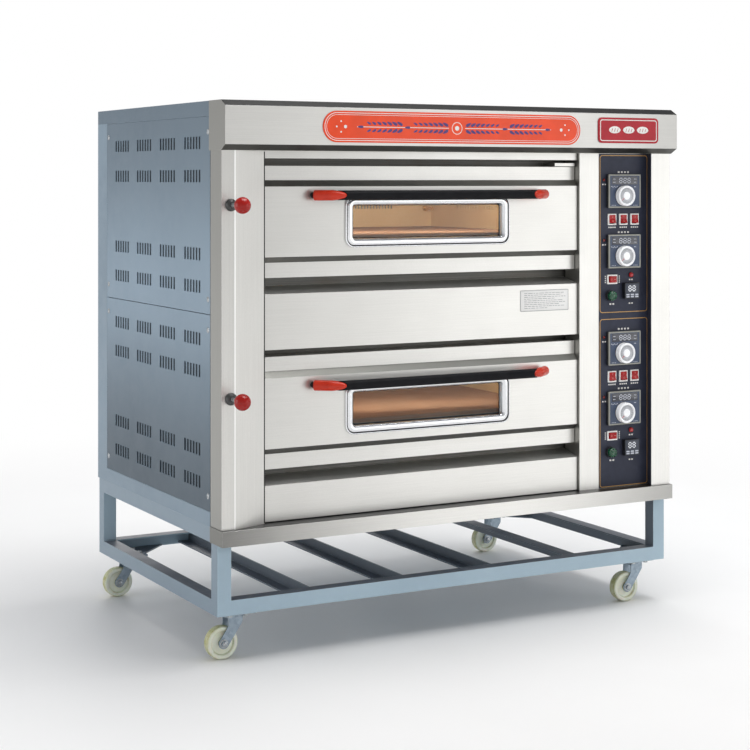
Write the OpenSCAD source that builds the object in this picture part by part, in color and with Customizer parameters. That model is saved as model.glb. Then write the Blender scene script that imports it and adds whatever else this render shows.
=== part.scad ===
// Two-deck gas bakery oven on a wheeled angle-iron stand.
// Millimetres, +Z up, +X to the right seen from the front, +Y towards the back.
// The origin is on the floor, under the middle of the overall footprint.

/* [Body] */
// Width over the two side panels
body_w = 1330; // [1310:5:1350]
// Depth from the front of the corner pillars to the back panel
body_d = 861; // [852:1:870]
// Height of the top cover above the floor
body_h = 1344; // [1340:1:1350]
// Thickness of the folded sheet metal
sheet = 1.5; // [1.2:0.1:1.6]

/* [Decks] */
// Height of the lower door's bottom edge above the floor
deck_z0 = 450; // [448:1:451]
// Vertical distance from one deck to the next
deck_pitch = 465; // [463:1:466]
// Height of each door
door_h = 273; // [270:1:273]
// Hearth top above the bottom edge of its door
hearth_up = 98; // [94:1:100]
// Chamber width inside
chamber_w = 860; // [820:10:860]
// Chamber depth inside
chamber_d = 651; // [620:1:651]

/* [Doors and handles] */
// Visible width of the window glass
glass_w = 433; // [400:1:440]
// Visible height of the window glass
glass_h = 83; // [76:1:84]
// Length of a handle bar between its end caps' noses
grip_l = 550; // [520:5:560]
// Diameter of a handle bar
grip_d = 24; // [20:1:25]
// Diameter of a door hinge pin
hinge_d = 10; // [8:1:10]

/* [Controls] */
// Width of a thermostat face
stat_w = 105; // [100:1:106]
// Height of a thermostat face
stat_h = 89.5; // [88.5:0.5:92]
// How far a thermostat case stands out of its plate
stat_out = 11.5; // [8:0.5:13]
// Diameter of a thermostat dial
dial_d = 55; // [50:1:56]
// Diameter of a damper ball
ball_d = 40; // [34:1:42]

/* [Louvres] */
// Width of a louvre slot
slot_w = 10; // [7:0.5:11]
// Height of a louvre slot
slot_h = 30.5; // [26:0.5:33]
// Distance between slots in a group
slot_pitch = 18.4; // [16:0.2:19]

/* [Stand and casters] */
// Width of the leg tubes and of the rail angles
ang = 36; // [34:1:37]
// Thickness of the rail angles
ang_t = 4; // [3:0.5:5]
// Height of the stand's lower edge above the floor
stand_z = 114; // [114:1:116]
// Caster wheel diameter
wheel_d = 80; // [76:1:82]
// Caster wheel tread width
wheel_w = 26; // [22:1:28]

/* [Hidden] */

$fn = 48;

// Colours shared by several pieces
stand_paint = [0.55, 0.62, 0.68];
panel_paint = [0.50, 0.58, 0.64];
front_grey = [0.80, 0.80, 0.79];
trim_white = [0.90, 0.90, 0.90];
black = [0.12, 0.12, 0.14];
lamp_red = [0.85, 0.15, 0.10];

// Body levels and depths
half_w = body_w / 2;
frame_t = 2;                       // thickness of the body frame
z_base = 323;                      // top of the skirt, foot of the pillars
tray_top = 357;                    // upper edge of the base tray
z_mid_seam = 830;                  // seam between upper and lower side panels
z_crown = 1224.5;                  // underside of the crown
z_lid = body_h - 37;               // foot of the top cover
crown_over = 3;                    // crown overhang at each side
shell_y = 69;                      // front of the body behind the pillars
pillar_front_edge = 66;            // back of the pillars' outer sides
pillar_back = 96;                  // back of the pillars' inner sides
rear_post_y = body_d - 73;
back_panel_y = body_d - 4;         // front face of the back panel
spigot_end = body_d + 40;          // back end of the flue spigot and gas inlet

// Doors and chambers
left_in = -half_w + 128;           // inner edge of the left pillar
right_in = half_w - 278;           // inner edge of the right pillar
door_x = (left_in + right_in) / 2;
door_w = right_in - left_in - 3;   // 1.5 clear on each side
door_x0 = door_x - door_w / 2;
door_x1 = door_x + door_w / 2;
face_y = 38;                       // raised faces of doors and fixed panels
strip_y = 52;                      // set-back strips of the doors
door_back = 94;
mouth_y = 104;                     // front of the mouth frame
cham_x0 = door_x - chamber_w / 2;
cham_x1 = door_x + chamber_w / 2;
cham_y0 = mouth_y + sheet;
cham_y1 = cham_y0 + chamber_d;
hearth_t = 10;
ceil_up = 258;                     // chamber ceiling above the door bottom
vent_up = 152;                     // vent slots and bulb above the door bottom
hinge_y = 75;
hinge_up = 7;

// Deck 0 is the lower one, deck 1 the upper
function deck_z(i) = deck_z0 + i * deck_pitch;
function hearth_z(i) = deck_z(i) + hearth_up - hearth_t;
function ceil_z(i) = deck_z(i) + ceil_up;
function hinge_z(i) = deck_z(i) + hinge_up;

// Dampers, upper first
damp_x = -half_w + 24;
damp_z = [1094, 634];
ball_y = -67;

// Casters
caster_x = half_w - 65;
caster_yf = 75;
caster_yr = body_d - 71;
trail = 34;                        // axle to the left of the swivel pin

// Middle of the footprint: left wheels to crown, damper ball to spigot end
x_mid = (half_w + crown_over - caster_x - trail - wheel_d / 2) / 2;
y_mid = (ball_y - ball_d / 2 + spigot_end) / 2;

// Control places as [x, z], from top to bottom
plate_y = 28;                      // front of the control plate
stat_at = [for (z = [1123, 960.5, 699, 538]) [half_w - 138.7, z]];
led_at = [for (z = [1153, 990.5, 729.5, 568.5]) [half_w - 200, z]];
row_at = [for (z = [1046.6, 622.6], x = [174, 136.5, 99]) [half_w - x, z]];
single_at = [for (z = [885, 463.6]) [half_w - 173.4, z]];
lamp_at = [for (z = [896, 475]) [half_w - 110.7, z]];
timer_at = [for (z = [853.2, 429.2]) [half_w - 114.6, z]];
button_at = [for (z = [841.5, 420]) [half_w - 181.3, z]];
knob_drop = 12.5;                  // dial below the thermostat's middle
knob_left = 3.5;                   // dial to the left of it

// ---- Helpers ----

function unit(v) = v / norm(v);
function perp(v) = [-v[1], v[0]];
// an open path moved sideways by dist, with mitred corners
function shifted(path, dist) = [for (i = [0:len(path) - 1])
  let (before = i > 0 ? perp(unit(path[i] - path[i - 1])) : perp(unit(path[1] - path[0])),
       after = i < len(path) - 1 ? perp(unit(path[i + 1] - path[i])) : before,
       mitre = unit(before + after))
  path[i] + mitre * dist / (mitre * before)];
// section of a folded sheet: the path thickened to one side
module bent(path, thick) {
  other = shifted(path, thick);
  polygon(concat(path, [for (i = [len(path) - 1:-1:0]) other[i]]));
}

// 2D drawn in the Y-Z plane, run from x0 to x1
module along_x(x0, x1)
  translate([x0, 0, 0]) rotate([90, 0, 90]) linear_extrude(x1 - x0) children();
// 2D drawn in the X-Z plane, run from y0 to y1
module along_y(y0, y1)
  translate([0, y1, 0]) rotate([90, 0, 0]) linear_extrude(y1 - y0) children();
// 2D drawn in the X-Y plane, run from z0 to z1
module upright(z0, z1)
  translate([0, 0, z0]) linear_extrude(z1 - z0) children();
// box between two opposite corners
module block(low, high) translate(low) cube(high - low);
module rod_x(y, z, r, x0, x1, fn = 48)
  translate([x0, y, z]) rotate([0, 90, 0]) cylinder(r = r, h = x1 - x0, $fn = fn);
module rod_y(x, z, r, y0, y1, fn = 48)
  translate([x, y0, z]) rotate([-90, 0, 0]) cylinder(r = r, h = y1 - y0, $fn = fn);
module rod_z(x, y, r, z0, z1, fn = 48)
  translate([x, y, z0]) cylinder(r = r, h = z1 - z0, $fn = fn);
module round_rect(w, h, r) {
  square([w - 2 * r, h], center = true);
  square([w, h - 2 * r], center = true);
  for (sx = [-1, 1], sz = [-1, 1])
    translate([sx * (w / 2 - r), sz * (h / 2 - r)]) circle(r = r, $fn = 40);
}

module placed() translate([-x_mid, -y_mid, 0]) children();
module both_sides() for (side = [-1, 1]) scale([side, 1, 1]) children();
// children at [x, z] points
module at_each(points) for (p = points) translate([p[0], 0, p[1]]) children();
// children on the control plate, their +Z turned to the front
module on_plate(points)
  at_each(points) translate([0, plate_y, 0]) rotate([90, 0, 0]) children();

// ---- Stand and casters ----

stand_y0 = 25;
stand_y1 = body_d - 11;
stand_top = z_base - frame_t;
tube_t = 3;                        // wall of the leg tubes
foot_t = 4;                        // closed feet and corner gussets
gusset = 190;                      // legs of the triangular gussets
leg_y = [stand_y0, stand_y1 - ang];
rail_z = [stand_top - ang, stand_z];
bolt_hole_r = 4.3;

module at_casters()
  for (x = [-caster_x, caster_x], y = [caster_yf, caster_yr]) translate([x, y, 0]) children();
module at_bolts() for (x = [-21, 21], y = [-24, 24]) translate([x, y, 0]) children();

module stand_frame() placed() color(stand_paint)
  difference() {
    union() {
      both_sides() {
        // square tube legs
        for (y = leg_y) block([half_w - ang, y, stand_z], [half_w, y + ang, stand_top]);
        // side rails: web outside, flange inwards along the top
        for (z = rail_z) {
          block([half_w - ang_t, stand_y0, z], [half_w, stand_y1, z + ang]);
          block([half_w - ang, stand_y0, z + ang - ang_t], [half_w, stand_y1, z + ang]);
        }
        // caster corner gussets
        for (corner = [[stand_y0, gusset], [stand_y1, -gusset]])
          translate([half_w, corner[0], stand_z])
            linear_extrude(foot_t) polygon([[0, 0], [-gusset, 0], [0, corner[1]]]);
      }
      // front and back rails
      for (z = rail_z) {
        flange_z = z + ang - ang_t;
        block([-half_w, stand_y0, z], [half_w, stand_y0 + ang_t, z + ang]);
        block([-half_w, stand_y0, flange_z], [half_w, stand_y0 + ang, z + ang]);
        block([-half_w, stand_y1 - ang_t, z], [half_w, stand_y1, z + ang]);
        block([-half_w, stand_y1 - ang, flange_z], [half_w, stand_y1, z + ang]);
      }
    }
    // bore of the leg tubes, closed at the foot
    both_sides() for (y = leg_y)
      block([half_w - ang + tube_t, y + tube_t, stand_z + foot_t],
            [half_w - tube_t, y + ang - tube_t, stand_top + 1]);
    // swivel pin and bolt holes
    at_casters() {
      translate([0, 0, stand_z - 1]) cylinder(r = 11, h = 6);
      at_bolts() translate([0, 0, stand_z - 1]) cylinder(r = bolt_hole_r, h = 6, $fn = 24);
    }
  }

// four angles between the lower front and back rails
module stand_shelf_bars() placed() color(stand_paint) {
  bar_pitch = 266;
  z0 = stand_z + 4;
  z1 = stand_z + ang - ang_t;
  y0 = stand_y0 + ang_t;
  y1 = stand_y1 - ang_t;
  for (i = [0:3]) {
    x = (i - 1.5) * bar_pitch;
    // the last bar has its flange at the top
    flange_z = i < 3 ? z0 : z1 - ang_t;
    block([x, y0, z0], [x + ang_t, y1, z1]);
    block([x - ang + ang_t, y0, flange_z], [x, y1, flange_z + ang_t]);
  }
}

pin_r = 6;                         // swivel pin
module caster_top_plates() placed() color([0.72, 0.74, 0.76]) at_casters()
  difference() {
    union() {
      translate([0, 0, stand_z - 2.5]) cube([84, 70, 5], center = true);
      translate([0, 0, stand_z - 8]) cylinder(r = 24, h = 4);
    }
    translate([0, 0, stand_z - 10]) cylinder(r = pin_r + 0.06, h = 12);
    at_bolts() translate([0, 0, stand_z - 10]) cylinder(r = bolt_hole_r, h = 12, $fn = 24);
  }

module caster_fork(x, y) placed() translate([x, y, 0]) color([0.70, 0.72, 0.75]) {
  fork_top = stand_z - 8.4;
  axle_z = wheel_d / 2;
  cheek_y = wheel_w / 2 + 2.5;     // inner face of a cheek
  cheek_t = 3;
  nut_y = cheek_y + cheek_t + 0.05;
  nut_end = cheek_y + 8;
  difference() {
    union() {
      // swivel pin, its head and the bearing disc
      rod_z(0, 0, pin_r, fork_top - 5, stand_z + 3.4);
      rod_z(0, 0, 10, stand_z + 0.4, stand_z + 3.4);
      rod_z(0, 0, 23.5, fork_top - 5, fork_top);
      // bridge and cheeks
      translate([-22, -cheek_y - cheek_t, fork_top - 8])
        cube([37, 2 * (cheek_y + cheek_t), 3.5]);
      for (y_end = [-cheek_y, cheek_y + cheek_t])
        translate([0, y_end, 0]) rotate([90, 0, 0]) linear_extrude(cheek_t) {
          polygon([
            [-22, fork_top - 5], [15, fork_top - 5], [15, fork_top - 17],
            [-trail + 12, axle_z - 6], [-trail - 12.4, axle_z + 4], [-22, fork_top - 26]
          ]);
          translate([-trail, axle_z]) circle(r = 13);
        }
    }
    rod_y(-trail, axle_z, 4.1, -cheek_y - 4, cheek_y + 4);
  }
  // axle bolt with its head and nut
  union() {
    rod_y(-trail, axle_z, 4, -nut_y, nut_y, 40);
    rod_y(-trail, axle_z, 7.5, nut_y, nut_end, 6);
    rod_y(-trail, axle_z, 7.5, -nut_end, -nut_y, 6);
  }
}

module caster_wheel(x, y) placed() color([0.90, 0.90, 0.80])
  translate([x - trail, y, wheel_d / 2]) rotate([90, 0, 0]) rotate_extrude($fn = 96) {
    rim = wheel_d / 2;
    half = wheel_w / 2;
    // [radius, distance along the axle]
    polygon([
      [4.06, -half - 2], [11, -half - 2], [12, -half + 3], [rim - 13, -half + 5],
      [rim - 10, -half + 1], [rim - 3, -half], [rim - 0.8, -half + 2.2], [rim, -half + 6],
      [rim, half - 6], [rim - 0.8, half - 2.2], [rim - 3, half], [rim - 10, half - 1],
      [rim - 13, half - 5], [12, half - 3], [11, half + 2], [4.06, half + 2]
    ]);
  }

// ---- Body shell ----

module body_frame() placed() color([0.47, 0.54, 0.60]) {
  inner_x = half_w - frame_t;
  // folded base tray
  difference() {
    block([-half_w, shell_y, z_base - frame_t], [half_w, body_d, tray_top]);
    block([-inner_x, shell_y + frame_t, z_base], [inner_x, body_d - frame_t, tray_top + 1]);
    // cut down behind the fixed front panel
    block([left_in - 10, shell_y - 1, z_base],
          [right_in + 10, shell_y + frame_t + 1, tray_top + 1]);
  }
  both_sides() {
    // back corner posts
    block([inner_x, rear_post_y, tray_top], [half_w, body_d, z_lid]);
    block([half_w - 40, body_d - frame_t, tray_top], [inner_x, body_d, z_lid]);
    block([half_w - 20, rear_post_y, tray_top], [inner_x, rear_post_y + frame_t, z_lid]);
    // front posts behind the pillars
    block([half_w - 15, 71, z_base], [inner_x, 73, z_lid]);
    block([half_w - 15, 73, z_base], [half_w - 13, pillar_back, z_lid]);
  }
}

// skirt under the pillars, open below and behind
module base_skirt() placed() color([0.78, 0.79, 0.79]) {
  front = -10;
  back = 66;
  drop = 38;
  difference() {
    block([-half_w - 2, front, z_base - drop], [half_w + 2, back, z_base]);
    block([-half_w, front + sheet, z_base - drop - 1], [half_w, back + 1, z_base - sheet]);
  }
}

// Side panels: 0 is the lower one, 1 the upper
side_z0 = [tray_top + 0.5, z_mid_seam + 0.8];
side_z1 = [z_mid_seam - 0.8, z_lid - 0.5];
louvre_z = [[767, 689, 499, 420], [1244, 1163, 973, 894]];
louvre_y0 = 179.5 + (body_d - 861) / 2;      // middle of the first group
louvre_group_pitch = 163.3;
screw_hole_r = 2.2;
// screw places as [y, z] in side panel i
function side_screws(i) =
  [for (y = [80.5, body_d - 88], z = [side_z0[i] + 35.5, side_z1[i] - 37]) [y, z]];
// screw places as [x, z] in the back panel
back_screws = [for (x = [-half_w + 60, 0, half_w - 60], z = [375, 830, z_lid - 20]) [x, z]];

module side_panel()
  for (i = [0, 1])
    along_x(half_w - sheet, half_w) difference() {
      translate([shell_y, side_z0[i]])
        square([rear_post_y - 1 - shell_y, side_z1[i] - side_z0[i]]);
      for (z = louvre_z[i], group = [0:3], slot = [-2.5:1:2.5])
        translate([louvre_y0 + group * louvre_group_pitch + slot * slot_pitch - slot_w / 2,
                   z - slot_h / 2])
          square([slot_w, slot_h]);
      for (p = side_screws(i)) translate(p) circle(r = screw_hole_r, $fn = 24);
    }
module side_panel_left() placed() color(panel_paint) mirror([1, 0, 0]) side_panel();
module side_panel_right() placed() color(panel_paint) side_panel();

flue_x = 155;
flue_z = 1250;
flue_r = 50;
gas_x = half_w - 105;
gas_z = 420;
module back_panel() placed() color([0.66, 0.69, 0.71])
  along_y(back_panel_y, back_panel_y + sheet) difference() {
    translate([-half_w + 41, tray_top + 1]) square([body_w - 82, z_lid - tray_top - 2]);
    translate([flue_x, flue_z]) circle(r = flue_r + 1);
    translate([gas_x, gas_z]) circle(r = 12);
    // six groups of upright slots
    for (z = [560, 1020], x = [-380, -140, 430], slot = [-4:4])
      translate([x + slot * 20 - 3, z]) square([6, 50]);
    for (p = back_screws) translate(p) circle(r = screw_hole_r, $fn = 24);
  }

module top_cover() placed() color(panel_paint)
  difference() {
    block([-half_w, shell_y + 0.5, z_lid], [half_w, body_d, body_h]);
    block([-half_w + sheet, shell_y, z_lid - 1],
          [half_w - sheet, body_d - sheet, body_h - sheet]);
  }

// [y, z] from the top back edge round the front to the bottom back edge
crown_path = [
  [shell_y, body_h], [-3, body_h], [-28, body_h - 14],
  [-28, 1238], [-3, z_crown], [shell_y, z_crown]
];
module crown_fascia() placed() color([0.82, 0.83, 0.83]) {
  end_x = half_w + crown_over;
  along_x(-end_x, end_x) bent(crown_path, sheet);
  both_sides() along_x(end_x - sheet, end_x) polygon(crown_path);
}

// long banner and small badge on the crown, both blank
module name_plates() placed() {
  color([0.88, 0.40, 0.30])
    along_y(-30, -28) translate([door_x + 43, 1283.5]) round_rect(w = 758, h = 77, r = 38.4);
  color([0.70, 0.12, 0.18])
    along_y(-30.5, -28) translate([half_w - 161, 1285]) round_rect(w = 198, h = 68, r = 12);
}

// ---- Pillars and fixed front ----

// pillar sections as [x, y] from the inner back edge to the outer one
left_path = [
  [left_in, pillar_back], [left_in, 34], [-half_w + 35, 0],
  [-half_w, 0], [-half_w, pillar_front_edge], [-half_w + 15, pillar_front_edge]
];
right_path = [
  [right_in, pillar_back], [right_in, 30], [half_w - 52.5, 30], [half_w - 62, 0],
  [half_w, 0], [half_w, pillar_front_edge], [half_w - 20, pillar_front_edge]
];
module hinge_holes(x)
  for (i = [0, 1]) rod_x(hinge_y, hinge_z(i), hinge_d / 2 + 1, x - 10, x + 10);

module left_pillar() placed() color(front_grey)
  difference() {
    upright(z_base, z_crown) bent(left_path, -sheet);
    for (z = damp_z) rod_y(damp_x, z, 7, -5, 10);
    hinge_holes(left_in);
  }

module right_pillar() placed() color(front_grey)
  difference() {
    upright(z_base, z_crown) bent(right_path, sheet);
    panel_holes();
    hinge_holes(right_in);
  }

module front_panels() placed() color(front_grey) {
  header_y = face_y + 2;
  header_z = 1206;
  // [top, bottom] of the fixed panels: between the doors, under the lower door
  fixed_z = [[deck_z(1) - 38.5, deck_z(0) + door_h + 18], [deck_z(0) - 37, z_base + 2.5]];
  // header strip over the upper door
  along_x(door_x0, door_x1)
    bent([[header_y, z_crown], [header_y, header_z], [mouth_y, header_z]], sheet);
  for (z = fixed_z)
    along_x(door_x0, door_x1)
      bent([[mouth_y, z[0] + 16], [face_y, z[0]], [face_y, z[1]], [mouth_y, z[1]]], sheet);
  // frame round the chamber mouths
  along_y(mouth_y, mouth_y + sheet) difference() {
    translate([left_in - 6, z_base + 0.5])
      square([right_in - left_in + 12, z_crown - z_base - 0.5]);
    for (i = [0, 1])
      translate([cham_x0, hearth_z(i)]) square([chamber_w, ceil_z(i) - hearth_z(i)]);
  }
  // door stop over the upper door
  block([door_x1 - 68, face_y + 7, 1189.5], [door_x1 - 4, mouth_y, 1198]);
}

// ---- Chambers, gas and flue ----

liner_t = 2;
low_header_y = cham_y1 - 30;
top_header_y = cham_y1 - 25;
header_x1 = cham_x1 + 40;          // right end of the burner headers
function low_burner_z(i) = deck_z(i) + hearth_up - 36;
function top_burner_z(i) = ceil_z(i) - 22;

module vent_row(z, count, pitch)
  for (i = [0:count - 1]) translate([i * pitch, z]) square([pitch * 0.45, 11]);

module chamber_liners() placed() for (i = [0, 1]) {
  vent_z = deck_z(i) + vent_up;
  color([0.78, 0.64, 0.50]) difference() {
    block([cham_x0 - liner_t, cham_y0, hearth_z(i) - liner_t],
          [cham_x1 + liner_t, cham_y1 + liner_t, ceil_z(i) + liner_t]);
    block([cham_x0, cham_y0 - 1, hearth_z(i)], [cham_x1, cham_y1, ceil_z(i)]);
    // vent slots in the back and side walls
    along_y(cham_y1 - 1, cham_y1 + 3) translate([cham_x1 - 261, 0]) vent_row(vent_z, 13, 10.1);
    for (x = [cham_x1 - 1, cham_x0 - 3], y = [170, 330, 490])
      along_x(x, x + 4) translate([y, 0]) vent_row(vent_z, 9, 14);
    // passage for the top burner feed
    rod_x(top_header_y, top_burner_z(i), 11, cham_x1 - 1, cham_x1 + 3);
  }
  // thermostat bulb in the back corner
  color([0.75, 0.55, 0.25]) translate([cham_x1 - 22, 0, 0]) {
    rod_y(0, vent_z, 5, cham_y1 - 46, cham_y1);
    rod_y(0, vent_z, 9, cham_y1 - 8, cham_y1, 6);
  }
}

module hearth_plates() placed() color([0.60, 0.47, 0.38]) for (i = [0, 1])
  block([cham_x0 + 2, cham_y0 + 2, hearth_z(i)],
        [cham_x1 - 2, cham_y1 - 2, hearth_z(i) + hearth_t]);

// slabs on the left, right, back and top of each chamber
module insulation() placed() color([0.85, 0.80, 0.60]) for (i = [0, 1]) {
  y0 = cham_y0 + 4;
  z0 = hearth_z(i);
  z1 = ceil_z(i) + 3;
  block([cham_x0 - 52, y0, z0], [cham_x0 - 3, cham_y1, z1]);
  block([cham_x1 + 3, y0, z0], [cham_x1 + 32, cham_y1 - 50, z1]);
  block([cham_x0, cham_y1 + 6, z0], [flue_x - 100, cham_y1 + 56, z1]);
  block([cham_x0, y0, z1], [cham_x1, cham_y1, z1 + 42]);
}

// three tubes on a header
module burner(z, tube_r, front_y, header_y) {
  tube_pitch = 260;
  union() {
    for (i = [-1:1]) rod_y(door_x + i * tube_pitch, z, tube_r, front_y, header_y);
    rod_x(header_y, z, 10, door_x - tube_pitch, header_x1);
  }
}

// inlet stub with its nut, riser and four branches
module gas_pipes() {
  y = low_header_y;
  branch_x = header_x1 + 0.2;
  union() {
    rod_y(gas_x, gas_z, 10.5, y, spigot_end);
    rod_y(gas_x, gas_z, 16, body_d + 4, body_d + 12, 6);
    rod_z(gas_x, y, 9, gas_z, top_burner_z(1) + 10);
    for (i = [0, 1]) {
      rod_x(low_header_y, low_burner_z(i), 8, branch_x, gas_x);
      rod_x(top_header_y, top_burner_z(i), 8, branch_x, gas_x);
      // box on each branch
      for (z = [low_burner_z(i), top_burner_z(i)])
        block([cham_x1 + 60, y - 24, z - 18], [cham_x1 + 110, y + 22, z + 18]);
    }
  }
}

module gas_train() placed() {
  color([0.55, 0.53, 0.50]) for (i = [0, 1]) {
    burner(low_burner_z(i), tube_r = 14, front_y = mouth_y + 40, header_y = low_header_y);
    burner(top_burner_z(i), tube_r = 12, front_y = mouth_y + 60, header_y = top_header_y);
  }
  color([0.75, 0.70, 0.35]) gas_pipes();
}

// upright box behind the chambers, a duct to each and a round spigot
module flue_stack() placed() color([0.62, 0.64, 0.66]) {
  box_x = 95;
  duct_x = 70;
  duct_up = 140;
  duct_h = 36;
  y0 = cham_y1 + 8;
  y1 = body_d - 10;
  z0 = deck_z(0) + 120;
  z1 = flue_z + 54;
  difference() {
    union() {
      block([flue_x - box_x, y0, z0], [flue_x + box_x, y1, z1]);
      for (i = [0, 1])
        block([flue_x - duct_x, cham_y1 + liner_t, deck_z(i) + duct_up],
              [flue_x + duct_x, y0 + 1, deck_z(i) + duct_up + duct_h]);
      rod_y(flue_x, flue_z, flue_r, y1 - 1, spigot_end, 72);
    }
    block([flue_x - box_x + sheet, y0 + sheet, z0 + sheet],
          [flue_x + box_x - sheet, y1 - sheet, z1 - sheet]);
    for (i = [0, 1])
      block([flue_x - duct_x + sheet, cham_y1, deck_z(i) + duct_up + sheet],
            [flue_x + duct_x - sheet, y0 + 3, deck_z(i) + duct_up + duct_h - sheet]);
    rod_y(flue_x, flue_z, flue_r - sheet, y1 - 10, spigot_end + 1, 72);
  }
}

// ---- Hinges and fasteners ----

// a block on the mouth frame and a pin through the pillar, at each door end
module hinge_brackets() placed() color([0.60, 0.62, 0.64]) for (i = [0, 1]) {
  z = hinge_z(i);
  r = hinge_d / 2;
  left = left_in - sheet;
  right = right_in + sheet;
  union() {
    block([left - 12, 62, z - 13], [left - 2, mouth_y, z + 13]);
    rod_x(hinge_y, z, r, left - 12, left_in + 18);
  }
  union() {
    block([right + 2, 62, z - 13], [right + 12, mouth_y, z + 13]);
    rod_x(hinge_y, z, r, right_in - 18, right + 12);
  }
}

// domed head on z = 0 with its shank below
module screw(shank) {
  r = 4.6;
  h = 2.4;
  rotate_extrude($fn = 24) polygon([[0, 0], [r, 0], [r * 0.86, h * 0.6], [r * 0.5, h], [0, h]]);
  translate([0, 0, -shank]) cylinder(r = 2.1, h = shank, $fn = 24);
}
module fasteners() placed() color([0.80, 0.82, 0.84]) {
  // side panel screws
  for (side = [-1, 1], i = [0, 1], p = side_screws(i))
    translate([side * half_w, p[0], p[1]]) rotate([0, side * 90, 0]) screw(shank = 1.9);
  // back panel screws
  at_each(back_screws)
    translate([0, back_panel_y + sheet, 0]) rotate([-90, 0, 0]) screw(shank = 3.5);
  // caster bolts with a hexagon at each end
  at_casters() at_bolts() {
    rod_z(0, 0, 4, stand_z - 5.2, stand_z + 4.2, 24);
    rod_z(0, 0, 7, stand_z - 10, stand_z - 5.1, 6);
    rod_z(0, 0, 7, stand_z + 4.1, stand_z + 9, 6);
  }
}

// ---- Controls ----

// openings shared by the right pillar and the control plate
module panel_holes() {
  at_each(stat_at) cube([93, 100, 85], center = true);
  at_each(row_at) cube([23.9, 100, 27], center = true);
  at_each(single_at) cube([29, 100, 21.4], center = true);
  at_each(timer_at) cube([42, 100, 36], center = true);
  at_each(lamp_at) rod_y(0, 0, 5.2, 0, 60, 32);
  at_each(button_at) rod_y(0, 0, 11.2, 0, 60, 32);
  at_each(led_at) rod_y(0, 0, 2.6, 0, 60, 24);
}

module control_plate() placed() color([0.20, 0.21, 0.25])
  difference() {
    union() {
      block([half_w - 214, plate_y, z_base + 1], [half_w - 53.5, 30, z_crown - 1]);
      // its right edge is bent forward against the pillar's step
      upright(z_base + 1, z_crown - 1)
        bent([[half_w - 52.8, 29.4], [half_w - 61.9, 0.8]], -1.4);
    }
    panel_holes();
  }

module thermostats() {
  front = plate_y - stat_out;
  color([0.24, 0.29, 0.38]) at_each(stat_at) difference() {
    union() {
      block([-stat_w / 2, front, -stat_h / 2], [stat_w / 2, plate_y, stat_h / 2]);
      block([-46, plate_y, -42], [46, 92, 42]);
    }
    // recess near the top, bore for the dial's shaft
    block([-25, front - 1, 20], [25, front + 2, 40]);
    rod_y(-knob_left, -knob_drop, 3.06, front - 1, front + 22);
  }
}

module timers() color(black) at_each(timer_at) difference() {
  union() {
    block([-24, plate_y - 12.5, -21.2], [24, plate_y, 21.2]);
    block([-20.5, plate_y, -17.5], [20.5, 80, 17.5]);
  }
  block([-13.5, plate_y - 14, -3], [13.5, plate_y - 11.3, 15.5]);
}

// turned parts are drawn as [radius, distance out of the plate]
module pilot_lamps() color(lamp_red) on_plate(lamp_at) rotate_extrude()
  polygon([[0, -26], [5, -26], [5, 0], [6.8, 0], [6.8, 2.5], [5.6, 5.6], [3, 7.4], [0, 7.8]]);
module indicators() color(lamp_red) on_plate(led_at) rotate_extrude($fn = 24)
  polygon([[0, -10], [2.5, -10], [2.5, 0], [4, 0], [4, 1], [2.4, 2.6], [0, 3.2]]);
module button_sleeves() color(black) on_plate(button_at) rotate_extrude()
  polygon([
    [9.06, -30], [11, -30], [11, 0], [14.2, 0], [14.2, 9.6],
    [13.9, 10.4], [13.2, 10.4], [13.2, 5], [9.06, 5]
  ]);

// switch housing: flange in front of the plate, body behind, hollow to the front
module bezel(body, flange) {
  wall = 1.4;
  x = body[0] / 2;
  z = body[1] / 2;
  difference() {
    union() {
      block([-flange[0] / 2, plate_y - 3.4, -flange[1] / 2],
            [flange[0] / 2, plate_y, flange[1] / 2]);
      block([-x, plate_y, -z], [x, plate_y + 26, z]);
    }
    block([-x + wall, plate_y - 5, -z + wall], [x - wall, plate_y + 24, z - wall]);
  }
}
pivot_y = plate_y + 4;
pivot_r = 1.2;
module switch_bezels() color([0.88, 0.88, 0.86]) {
  at_each(row_at) difference() {
    bezel(body = [23.3, 26.4], flange = [26.5, 30]);
    rod_x(pivot_y, 0, pivot_r + 0.06, -12, 12, 24);
  }
  at_each(single_at) difference() {
    bezel(body = [28.4, 20.8], flange = [32, 25]);
    rod_z(0, pivot_y, pivot_r + 0.06, -12, 12, 24);
  }
}

module control_modules() placed() {
  thermostats();
  timers();
  pilot_lamps();
  indicators();
  button_sleeves();
  switch_bezels();
}

// rocker cap on a pivot along X, tilted so that its -Z end stands out
module rocker_body(half_l, w) rotate([-7, 0, 0])
  union() {
    rotate([90, 0, 90]) translate([0, 0, -w / 2]) linear_extrude(w)
      polygon([
        [-10.6, -half_l + 0.3], [-8.8, 0], [-10.6, half_l - 0.3],
        [6.5, half_l * 0.55], [6.5, -half_l * 0.55]
      ]);
    rotate([0, 90, 0]) translate([0, 0, -w / 2 - pivot_r])
      cylinder(r = pivot_r, h = w + 2 * pivot_r, $fn = 24);
  }
module rocker_at(p) placed() color([0.80, 0.12, 0.10])
  translate([p[0], pivot_y, p[1]]) children();
// lower end out
module rocker_row(i) rocker_at(row_at[i]) rocker_body(half_l = 11.2, w = 19.7);
// lies on its side, left end out
module rocker_single(i) rocker_at(single_at[i])
  rotate([0, 90, 0]) rocker_body(half_l = 12.3, w = 17.2);

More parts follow.
